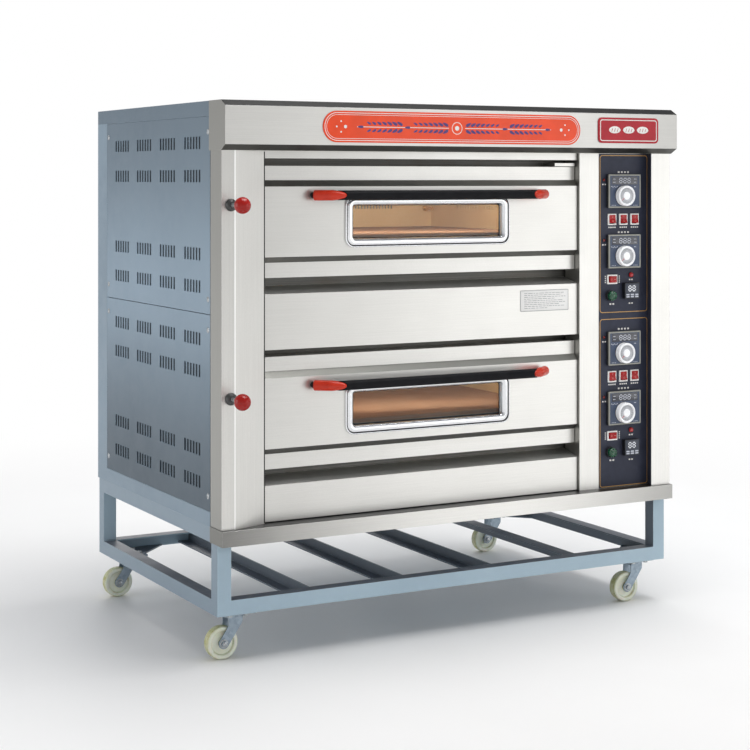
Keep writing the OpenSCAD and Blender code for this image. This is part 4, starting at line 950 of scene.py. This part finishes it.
def lamp_ring(name, x, z, r, y):
    sh = Shape()
    lathe_y(sh, x, z, [(r + 0.2, y), (r + 0.9, y), (r + 0.9, y - 1.4), (r + 0.6, y - 2.0), (r + 0.1, y - 2.1), (r - 0.1, y - 1.2)], 48, cap0=False, cap1=False)
    sh.make(name, ROOT, "black_plastic")


def body_gap_shade():
    """Painted shade: a dark strip in the gap beside the left upright."""
    sh = Shape()
    for x0, x1, y0, y1, z0, z1 in ((-539.6, -536.6, 33.1, 35.0, 325.0, 1222.0),):
        lo = [(x0, y0, z0), (x1, y0, z0), (x1, y0, z1), (x0, y0, z1)]
        hi = [(a, y1, c) for a, _, c in lo]
        sh.loft([hi, lo], cap0=False)
    sh.make("upright_gap_shadow_strip", ROOT, "dark_gap")


def captions():
    """Plain dashes where the printed captions sit: no lettering."""
    y0, y1 = PLATE_Y - 0.18, PLATE_Y + 0.05
    sh = Shape()

    def dashes(cx, cz, n, w, h, gap):
        for k in range(n):
            pill(sh, cx + (k - (n - 1) / 2) * (w + gap), cz, w, h, y0, y1, r=0.5)

    for z in STAT_Z:
        dashes(530.2, z + 51.2, 4, 5.8, 4.6, 4.6)
    for z in ROW_Z:
        for x in ROW_X:
            dashes(x + 1.2, z - 21.4, 4, 4.6, 3.6, 2.0)
    for (x, z) in LEDS:
        dashes(x + 1.0, z - 12.0, 2, 4.6, 3.6, 3.4)
    for (x, z) in LAMPS:
        dashes(x + 0.8, z - 13.2, 2, 5.4, 3.8, 2.4)
    for (x, z) in GREENS:
        dashes(x + 8.0, z - 23.0, 2, 6.0, 4.4, 3.6)
    for (x, z) in TIMERS:
        dashes(x + 4.6, z - 34.4, 2, 5.2, 3.6, 3.4)
    for z in SINGLE_Z:
        for dx in (-21.4, 24.8):
            for k in range(4):
                pill(sh, SINGLE_X + dx, z + (k - 1.5) * 5.4, 3.2, 3.4, y0, y1, r=0.5)
    sh.make("control_captions", ROOT, "white_ink")


outlines()
for i in range(4):
    thermostat(i)
    dial(i)
for i, d in enumerate(("upper", "lower")):
    for q, c in enumerate("abc"):
        rocker_frame(f"rocker_bezel_{d}_{c}", ROW_X[q], ROW_Z[i], 26.5, 30.0, 20.5, 23.6)
        rocker_marks(f"rocker_marks_{d}_{c}", f"rocker_{d}_{c}_body", ROW_X[q], ROW_Z[i], False, 11.2)
    rocker_frame(f"rocker_bezel_{d}_d", SINGLE_X, SINGLE_Z[i], 32.0, 25.0, 25.6, 18.0)
    rocker_marks(f"rocker_marks_{d}_d", f"rocker_{d}_d_body", SINGLE_X, SINGLE_Z[i], True, 12.3)
    green_button(i, d)
    timer(i, d)
    lamp_ring(f"pilot_ring_{d}", LAMPS[i][0], LAMPS[i][1], 6.8, PLATE_Y)
for i, (x, z) in enumerate(LEDS):
    lamp_ring(f"indicator_ring_{i + 1}", x, z, 4.0, PLATE_Y)
captions()
body_gap_shade()


# ------------------------------------------------------------------ name plates and placard
def stadium(cx, cz, w, h, y, n=20):
    return rrect(cx, cz, w, h, h / 2 - 0.02, y, n)


def plates():
    bx, bz = -32.0, 1283.5
    sh = Shape()
    # banner: two fine white lines that follow its edge
    for (inset, line) in ((4.0, 1.6), (9.0, 1.0)):
        w, h = 758 - 2 * inset, 77 - 2 * inset
        sh.ring([stadium(bx, bz, w, h, -29.9), stadium(bx, bz, w, h, -30.2), stadium(bx, bz, w - 2 * line, h - 2 * line, -30.2), stadium(bx, bz, w - 2 * line, h - 2 * line, -29.9)])
    # plain end dots
    for sx in (-1, 1):
        for (dx, dz, r) in ((318, 0, 4.2), (330, 13, 2.2), (330, -13, 2.2), (342, 0, 2.2)):
            sh.loft([circle(bx + sx * dx, bz + dz, r, -29.9, 20), circle(bx + sx * dx, bz + dz, r, -30.25, 20)], cap0=False)
    sh.make("banner_lines", ROOT, "white_ink")
    # ornament: wheat ears laid end to end, drawn from plain grains
    sh = Shape()

    def grain(cx, cz, l, w, ang):
        n = 14
        a = math.radians(ang)
        lo = []
        for k in range(n):
            t = 2 * math.pi * k / n
            u, v = l / 2 * math.cos(t), w / 2 * math.sin(t) * (1 - 0.35 * math.cos(t))
            lo.append((cx + u * math.cos(a) - v * math.sin(a), cz + u * math.sin(a) + v * math.cos(a)))
        inner = [(cx + (p - cx) * 0.72, cz + (q - cz) * 0.72) for p, q in lo]
        sh.loft([[(p, -29.9, q) for p, q in lo], [(p, -30.15, q) for p, q in lo], [(p, -30.35, q) for p, q in inner]], cap0=False)

    for sx in (-1, 1):
        for e in range(2):
            x0 = bx + sx * (34 + e * 132)
            for k in range(7):
                x = x0 + sx * (k * 14.5)
                s = 1.0 - 0.05 * k
                grain(x, bz + 9.2, 18 * s, 7.4 * s, 28 if sx > 0 else 152)
                grain(x, bz - 9.2, 18 * s, 7.4 * s, -28 if sx > 0 else -152)
            grain(x0 + sx * 110, bz, 16, 6.2, 0 if sx > 0 else 180)
    sh.make("banner_ears", ROOT, "navy_ink")
    sh = Shape()
    for sx in (-1, 1):
        pill(sh, bx + sx * 155, bz, 262, 1.6, -30.2, -29.9)
    sh.loft([circle(bx, bz, 15.5, -29.9, 40), circle(bx, bz, 15.5, -30.2, 40), circle(bx, bz, 13.9, -30.2, 40), circle(bx, bz, 13.9, -29.9, 40)], cap0=False, cap1=False)
    sh.loft([circle(bx, bz, 6.0, -29.9, 32), circle(bx, bz, 6.0, -30.25, 32)], cap0=False)
    sh.make("banner_stems", ROOT, "white_ink")
    # badge: a white line round the edge and a plain loaf
    cx, cz = 504.0, 1285.0
    sh = Shape()
    sh.ring([rrect(cx, cz, 187, 57, 7, -30.4), rrect(cx, cz, 187, 57, 7, -30.75), rrect(cx, cz, 182.6, 52.6, 5.2, -30.75), rrect(cx, cz, 182.6, 52.6, 5.2, -30.4)])
    sh.make("badge_line", ROOT, "white_ink")
    sh = Shape()
    for dx in (-46, 0, 46):
        lo = []
        for k in range(28):
            t = 2 * math.pi * k / 28
            u, v = 19 * math.cos(t), 11 * math.sin(t)
            if v < 0:
                v *= 0.72
                u *= 0.94
            lo.append((cx + dx + u, cz + v))
        inn = [(cx + dx + (p - cx - dx) * 0.90, cz + (q - cz) * 0.86) for p, q in lo]
        sh.loft([[(p, -30.4, q) for p, q in lo], [(p, -30.8, q) for p, q in lo], [(p, -31.0, q) for p, q in inn]], cap0=False)
    sh.make("badge_loaves", ROOT, "white_ink")
    sh = Shape()
    for dx in (-46, 0, 46):
        for k in (-1, 0, 1):
            x = cx + dx + k * 9.0
            pts = [(x - 1.9, cz - 3.2), (x - 0.5, cz - 3.6), (x + 2.6, cz + 5.0), (x + 1.2, cz + 5.4)]
            sh.loft([[(p, -30.98, q) for p, q in pts], [(p, -31.12, q) for p, q in pts]], cap0=False)
    sh.make("badge_scores", ROOT, "badge_red")
    # placard on the middle panel
    sh = Shape()
    px, pz, w, h = 279.3, 835.0, 153.4, 56.0
    sh.loft([rrect(px, pz, w, h, 3, 38.0), rrect(px, pz, w, h, 3, 37.5), rrect(px, pz, w - 0.6, h - 0.6, 2.8, 37.3)], cap0=False)
    sh.make("placard_plate", ROOT, "placard")
    sh = Shape()
    for k in range(9):
        z = pz + 19.5 - k * 4.9
        lengths = [128, 118, 131, 96, 124, 130, 110, 127, 74][k]
        x0 = px - 64
        x = x0
        rnd = random.Random(40 + k)
        while x < x0 + lengths:
            l = rnd.uniform(5, 16)
            l = min(l, x0 + lengths - x)
            if l > 2:
                pill(sh, x + l / 2, z, l, 1.3, 37.22, 37.36, r=0.4, n=2)
            x += l + 2.2
    sh.ring([rrect(px, pz, w - 0.4, h - 0.4, 2.8, 37.36), rrect(px, pz, w - 0.4, h - 0.4, 2.8, 37.18), rrect(px, pz, w - 3.4, h - 3.4, 1.8, 37.18), rrect(px, pz, w - 3.4, h - 3.4, 1.8, 37.36)])
    sh.make("placard_lines", ROOT, "grey_ink")


plates()


# ------------------------------------------------------------------ window trim, seals and handle details
def door_details(i, d):
    zb = DECK[i]
    body = f"door_{d}_assembly"
    cx, cz = WIN_X, zb + WIN_Z
    # rolled chrome bezel: outer lip, a groove painted dark as shade, crowned band, inner slope to the glass. It stands
    # for the flat CAD ring.
    sh = Shape()
    prof = [(0.0, 38.0), (0.0, 34.6), (0.8, 33.4), (2.2, 33.0), (3.4, 33.6), (4.2, 35.2), (5.4, 35.4), (6.2, 34.0), (7.8, 33.0), (12.0, 32.6), (17.0, 33.0), (19.6, 34.4), (21.2, 36.6), (22.6, 40.0), (24.3, 44.6), (24.5, 46.0)]
    loops = [rrect(cx, cz, 484 - 2 * a, 128 - 2 * min(a, 22.4), max(6.6, 24 - a * 0.75), y, 12) for a, y in prof]
    sh.loft(loops, cap0=False, cap1=False, mis=[1 if 4 <= k <= 5 else 0 for k in range(len(loops))])
    back = [rrect(cx, cz, 433, 83, 7, 46.0, 12), rrect(cx, cz, 452, 102, 6, 46.0, 12), rrect(cx, cz, 452, 102, 6, 38.2, 12), rrect(cx, cz, 483, 127, 23, 38.2, 12)]
    sh.loft(back, cap0=False, cap1=False)
    o = sh.make(f"window_bezel_{d}", body, ["chrome_trim", "dark_gap"], sharp=50)
    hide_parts(f"door_{d}_bezel")
    # painted shade: a dark ring between bezel and pane
    sh = Shape()
    sh.ring([rrect(cx, cz, 434.5, 84.5, 7, 46.05, 12), rrect(cx, cz, 431.8, 81.8, 6, 45.2, 12), rrect(cx, cz, 429.4, 79.4, 5.5, 46.12, 12), rrect(cx, cz, 434.5, 84.5, 7, 46.15, 12)])
    sh.make(f"window_shadow_line_{d}", body, "dark_gap")


for i, d in ((1, "upper"), (0, "lower")):
    door_details(i, d)


# ------------------------------------------------------------------ stand: weld beads; panel screws; back; louvres
def welds():
    """Beads where the rails and shelf bars meet the legs and rails."""
    sh = Shape()
    seed = 0
    for sx in (-1, 1):
        for (y0, sy) in ((25.0, 1), (850.0, -1)):
            for z in (150.0, 321.0 - 36.0):
                seed += 1
                # along the foot or head of the leg, on its two inner faces
                up = 0.5 if z < 200 else -0.5
                path = [(sx * (HW - 36.0), y0 + sy * (5.0 + k * 2.6), z + up) for k in range(12)]
                tube(sh, path, 1.9, 10, bump=0.22, seed=seed)
                path = [(sx * (HW - 6.0 - k * 2.6), y0 + sy * 36.0, z + up) for k in range(12)]
                tube(sh, path, 1.9, 10, bump=0.22, seed=seed + 50)
    for k in range(4):
        x = -399.0 + k * 266.0
        for (y, sy) in ((29.0, 1), (846.0, -1)):
            path = [(x + 4.3, y + sy * 0.6, 119.0 + j * 2.5) for j in range(11)]
            tube(sh, path, 1.9, 10, bump=0.22, seed=200 + k)
    sh.make("stand_weld_beads", ROOT, "stand_paint", sharp=60)


def screws():
    """Cross recesses in the panel screws, drawn as dark crosses of painted shade, and pressed washers under them."""
    sh = Shape()
    rec = Shape()

    def washer(px, s, y, z):
        n = 28
        loops = []
        for (r, dx) in ((7.0, 0.0), (6.8, 0.9), (5.0, 1.2), (4.7, 0.5)):
            loops.append([(px + s * dx, y + r * math.cos(2 * math.pi * k / n), z + r * math.sin(2 * math.pi * k / n)) for k in range(n)])
        sh.loft(loops, cap0=False, cap1=False)

    for s in (-1, 1):
        for k in (0, 1):
            z0 = 357.5 if k == 0 else 830.8
            z1 = 829.2 if k == 0 else 1306.5
            for y in (80.5, 773.0):
                for z in (z0 + 35.5, z1 - 37.0):
                    washer(s * HW, s, y, z)
                    a = random.uniform(0, 90)
                    for q in (0, 90):
                        ang = math.radians(a + q)
                        c, d = math.cos(ang), math.sin(ang)
                        pts = [(-2.0, -0.42), (2.0, -0.42), (2.0, 0.42), (-2.0, 0.42)]
                        lo = [(s * (HW + 2.34), y + u * c - v * d, z + u * d + v * c) for u, v in pts]
                        hi = [(s * (HW + 2.46), y + u * c - v * d, z + u * d + v * c) for u, v in pts]
                        rec.loft([lo, hi], cap0=False)
    sh.make("panel_screw_washers", ROOT, "zinc_plate")
    rec.make("panel_screw_recess_shade", ROOT, "dark_gap", smooth=False)


def back_details():
    """Folded joggles and a pressed stiffening frame on the back sheet, spigot bead, lock nut on the gas inlet."""
    sh = Shape()
    y = 858.5
    for (x0, x1, z0, z1) in ((-560, 20, 640, 980), (-560, 20, 380, 530), (-560, 20, 1090, 1230), (290, 520, 640, 980)):
        cx, cz, w, h = (x0 + x1) / 2, (z0 + z1) / 2, x1 - x0, z1 - z0
        sh.ring([rrect(cx, cz, w, h, 14, y), rrect(cx, cz, w - 3, h - 3, 13, y + 1.6), rrect(cx, cz, w - 9, h - 9, 11, y + 1.6), rrect(cx, cz, w - 12, h - 12, 10, y)])
    sh.make("back_panel_ribs", ROOT, "galvanised_sheet")
    sh = Shape()
    n = 72
    prof = [(50.2, 861.5), (66, 861.5), (66, 863.0), (53.5, 863.4), (51.6, 864.4), (50.3, 867.0)]
    loops = [[(155 + r * math.cos(2 * math.pi * k / n), yy, 1250 + r * math.sin(2 * math.pi * k / n)) for k in range(n)] for r, yy in prof]
    sh.loft(loops, cap0=False, cap1=False)
    sh.make("flue_collar", ROOT, "galvanised_sheet")
    sh = Shape()
    prof = [(10.7, 859.8), (19, 859.8), (19, 861.4), (11.2, 861.8)]
    loops = [[(560 + r * math.cos(2 * math.pi * k / 48), yy, 420 + r * math.sin(2 * math.pi * k / 48)) for k in range(48)] for r, yy in prof]
    sh.loft(loops, cap0=False, cap1=False)
    # thread ridges on the gas inlet
    for j in range(9):
        yy = 876.0 + j * 2.2
        loops = [[(560 + r * math.cos(2 * math.pi * k / 48), q, 420 + r * math.sin(2 * math.pi * k / 48)) for k in range(48)] for r, q in ((10.45, yy), (10.95, yy + 0.7), (10.45, yy + 1.5))]
        sh.loft(loops, cap0=False, cap1=False)
    sh.make("gas_inlet_collar", ROOT, "brass")


def louvres():
    """A rolled lip round each slot of the side panels, and a dark sheet behind them as painted shade."""
    rows = {0: (767, 689, 499, 420), 1: (1244, 1163, 973, 894)}
    for s, side in ((-1, "left"), (1, "right")):
        sh = Shape()
        for k in (0, 1):
            for z in rows[k]:
                for c in range(4):
                    for q in range(6):
                        y = 179.5 + c * 163.3 + (q - 2.5) * 18.4

                        def loop(w, h, r, out, n=3):
                            return [(s * (HW + out), p[0], p[2]) for p in [(a[0], 0, a[2]) for a in rrect(y, z, w, h, r, 0, n)]]
                        sh.loft([loop(12.0, 32.5, 2.4, 0.02), loop(11.2, 31.7, 2.0, 0.42), loop(10.2, 30.7, 1.6, 0.30), loop(9.6, 30.1, 1.4, -1.4)], cap0=False, cap1=False)
        sh.make(f"louvre_lips_{side}", ROOT, "side_paint")
        sh = Shape()
        for k in (0, 1):
            zr = rows[k]
            for (za, zb) in ((zr[3], zr[2]), (zr[1], zr[0])):
                for c in range(4):
                    y = 179.5 + c * 163.3
                    cz, hh = (za + zb) / 2, (zb - za) + 52
                    f = s * (HW - 9.0)
                    b = s * (HW - 8.0)
                    lo1 = [(b, p[0], p[2]) for p in rrect(y, cz, 124, hh, 4, 0, 3)]
                    lo2 = [(f, p[0], p[2]) for p in rrect(y, cz, 124, hh, 4, 0, 3)]
                    sh.loft([lo1, lo2])
        sh.make(f"louvre_shade_sheets_{side}", ROOT, "dark_gap")


welds()
screws()
back_details()
louvres()


# ------------------------------------------------------------------ casters
def caster_details(c):
    x, y = CASTERS[c]
    # ball race under the top plate and a dust ring
    sh = Shape()
    n = 64

    def ringz(prof, cx, cy):
        loops = [[(cx + r * math.cos(2 * math.pi * k / n), cy + r * math.sin(2 * math.pi * k / n), z) for k in range(n)] for r, z in prof]
        sh.loft(loops, cap0=False, cap1=False)

    ringz([(23.9, 108.8), (24.5, 108.6), (24.9, 107.8), (24.9, 106.4), (24.4, 105.7), (23.9, 105.6)], x, y)
    sh.make(f"caster_race_{c}", ROOT, "fork_zinc")
    # washers and a domed nut on the axle
    fx = x - 34.0
    sh = Shape()
    for s in (-1, 1):
        loops = []
        for (r, d) in ((4.2, 0.0), (10.4, 0.0), (10.8, 0.5), (10.6, 1.4), (7.4, 1.7), (7.2, 1.0)):
            yy = y + s * (18.5 + d)
            loops.append([(fx + r * math.cos(2 * math.pi * k / 40), yy, 40 + r * math.sin(2 * math.pi * k / 40)) for k in range(40)])
        sh.loft(loops, cap0=False, cap1=False)
        loops = []
        for (r, d) in ((5.6, 4.9), (5.4, 5.6), (4.0, 6.3), (0.02, 6.6)):
            yy = y + s * (18.5 + d)
            loops.append([(fx + r * math.cos(2 * math.pi * k / 32), yy, 40 + r * math.sin(2 * math.pi * k / 32)) for k in range(32)])
        sh.loft(loops, cap0=False, cap1=True)
    sh.make(f"caster_axle_trim_{c}", f"fork_{c}_body", "zinc_plate")
    # a steel bush pressed into each side of the wheel
    sh = Shape()
    for s in (-1, 1):
        loops = []
        for (r, d) in ((6.0, 11.8), (11.6, 11.8), (12.2, 12.6), (11.8, 13.4), (7.0, 13.5), (6.2, 12.8)):
            yy = y + s * d
            loops.append([(fx + r * math.cos(2 * math.pi * k / 40), yy, 40 + r * math.sin(2 * math.pi * k / 40)) for k in range(40)])
        sh.loft(loops, cap0=False, cap1=False)
    sh.make(f"wheel_bush_{c}", f"wheel_{c}_body", "dark_gap")


for c in CASTERS:
    caster_details(c)


# ------------------------------------------------------------------ dampers
for d, z in DAMPERS.items():
    sh = Shape()
    # a black ferrule where the ball screws on to its rod
    lathe_y(sh, DAMP_X, z, [(5.1, -38.0), (7.2, -38.6), (7.6, -40.2), (7.6, -46.0), (8.8, -48.2), (9.2, -49.6)], 40, cap0=False, cap1=False)
    sh.make(f"damper_ferrule_{d}", f"damper_{d}_rod", "black_plastic")


# ------------------------------------------------------------------ floor, light, camera
def stage():
    me = bpy.data.meshes.new("floor")
    n = 96
    verts, faces = [(0, 0, 0)], []
    radii = [1.5, 3.0, 6.0, 12.0, 30.0, 80.0]
    for r in radii:
        for k in range(n):
            verts.append((r * math.cos(2 * math.pi * k / n), r * math.sin(2 * math.pi * k / n), 0.0))
    for k in range(n):
        faces.append((0, 1 + k, 1 + (k + 1) % n))
    for a in range(len(radii) - 1):
        for k in range(n):
            i, j = 1 + a * n + k, 1 + a * n + (k + 1) % n
            faces.append((i, i + n, j + n, j))
    me.from_pydata(verts, [], faces)
    me.update()
    o = bpy.data.objects.new("floor", me)
    bpy.context.scene.collection.objects.link(o)
    t = Tree("floor_mat")
    n1 = t.noise(1.4, 3.0, 0.5)
    n2 = t.noise(60.0, 3.0, 0.6)
    c = t.mix(t.rng(n1, 0.3, 0.7, 0.0, 1.0), (0.86, 0.855, 0.845, 1), (0.89, 0.885, 0.875, 1))
    p = t.node("ShaderNodeBsdfPrincipled", {"Base Color": c, "Roughness": t.rng(n2, 0.3, 0.7, 0.5, 0.62), "Normal": t.bump(n2, 0.05, 0.001)})
    e = t.node("ShaderNodeEmission", {"Color": (1, 1, 1, 1), "Strength": BACKDROP})
    s = t.node("ShaderNodeVectorMath", {0: t.coord()}, operation="LENGTH")
    m = t.node("ShaderNodeMixShader", {"Fac": t.rng(s.outputs["Value"], 1.0, 3.4, 0.0, 1.0, True)})
    t.nt.links.new(p.outputs[0], m.inputs[1])
    t.nt.links.new(e.outputs[0], m.inputs[2])
    t.nt.links.new(m.outputs[0], t.out.inputs["Surface"])
    me.materials.append(t.mat)


BACKDROP = 1.0
stage()

world = bpy.data.worlds.new("studio")
bpy.context.scene.world = world
world.use_nodes = True
wt = world.node_tree
wt.nodes.clear()
wo = wt.nodes.new("ShaderNodeOutputWorld")
mixs = wt.nodes.new("ShaderNodeMixShader")
lp = wt.nodes.new("ShaderNodeLightPath")
cam_bg = wt.nodes.new("ShaderNodeBackground")
cam_bg.inputs[0].default_value = (1, 1, 1, 1)
cam_bg.inputs[1].default_value = BACKDROP
env_bg = wt.nodes.new("ShaderNodeBackground")
tc = wt.nodes.new("ShaderNodeTexCoord")
sx = wt.nodes.new("ShaderNodeSeparateXYZ")
ramp = wt.nodes.new("ShaderNodeValToRGB")
wt.links.new(tc.outputs["Generated"], sx.inputs[0])
mr = wt.nodes.new("ShaderNodeMapRange")
mr.inputs["From Min"].default_value = -1.0
mr.inputs["From Max"].default_value = 1.0
wt.links.new(sx.outputs[2], mr.inputs["Value"])
wt.links.new(mr.outputs[0], ramp.inputs[0])
ramp.color_ramp.elements[0].position = 0.0
ramp.color_ramp.elements[0].color = (0.55, 0.55, 0.55, 1)
ramp.color_ramp.elements[1].position = 1.0
ramp.color_ramp.elements[1].color = (0.50, 0.52, 0.55, 1)
for pos, col in ((0.5, (0.87, 0.87, 0.87, 1)), (0.62, (0.85, 0.85, 0.86, 1)), (0.78, (0.62, 0.62, 0.64, 1))):
    e = ramp.color_ramp.elements.new(pos)
    e.color = col
wt.links.new(ramp.outputs[0], env_bg.inputs[0])
env_bg.inputs[1].default_value = 0.62
wt.links.new(lp.outputs["Is Camera Ray"], mixs.inputs[0])
wt.links.new(env_bg.outputs[0], mixs.inputs[1])
wt.links.new(cam_bg.outputs[0], mixs.inputs[2])
wt.links.new(mixs.outputs[0], wo.inputs[0])


def area(name, loc, target, size, size_y, power, color=(1, 1, 1), spread=180.0):
    l = bpy.data.lights.new(name, "AREA")
    l.shape = "RECTANGLE"
    l.size = size
    l.size_y = size_y
    l.energy = power
    l.color = color
    l.spread = math.radians(spread)
    o = bpy.data.objects.new(name, l)
    bpy.context.scene.collection.objects.link(o)
    o.location = loc
    d = Vector(target) - Vector(loc)
    o.rotation_euler = d.to_track_quat("-Z", "Y").to_euler()
    return o


area("key_overhead", (0.5, -0.6, 4.4), (0.0, 0.0, 0.0), 3.0, 2.4, 150.0)
area("front_card", (4.3, -4.9, 1.5), (0.3, -0.4, 0.8), 4.2, 3.4, 50.0)
area("left_fill", (-4.4, 1.2, 1.4), (-0.6, 0.0, 0.7), 3.0, 2.4, 42.0, (0.96, 0.98, 1.0))
area("back_fill", (1.5, 4.6, 2.6), (0.0, 0.3, 0.7), 3.0, 2.4, 45.0)
area("right_fill", (4.6, 0.8, 1.8), (0.6, 0.0, 0.7), 2.6, 2.2, 38.0)
# warm light inside each chamber, from above the window towards the back wall
for k, z in enumerate(DECK):
    c = P(DOOR_X, 200, z + 246)
    area(f"chamber_light_{k + 1}", c, P(DOOR_X + 40, 700, z + 150), 0.70, 0.10, 3.0 if k else 1.9, (1.0, 0.94, 0.84))

cam_data = bpy.data.cameras.new("camera")
cam = bpy.data.objects.new("camera", cam_data)
bpy.context.scene.collection.objects.link(cam)
cam.location = (-2.3018, -4.1647, 1.157)
cam.rotation_euler = (math.radians(90.0), 0.0, math.radians(-28.65))
cam_data.lens = 82.95
cam_data.sensor_width = 36.0
cam_data.clip_start, cam_data.clip_end = 0.05, 200.0
# the shift belongs to the main viewpoint only
drv = cam_data.driver_add("shift_y").driver
drv.type = "SCRIPTED"
var = drv.variables.new()
var.name = "cx"
var.type = "TRANSFORMS"
var.targets[0].id = cam
var.targets[0].transform_type = "LOC_X"
var.targets[0].transform_space = "WORLD_SPACE"
drv.expression = "-0.262 if abs(cx + 2.3018) < 0.001 else 0.0"
bpy.context.scene.camera = cam
bpy.context.scene.view_settings.view_transform = "Standard"
bpy.context.scene.view_settings.look = "None"
bpy.context.scene.view_settings.exposure = 0.0
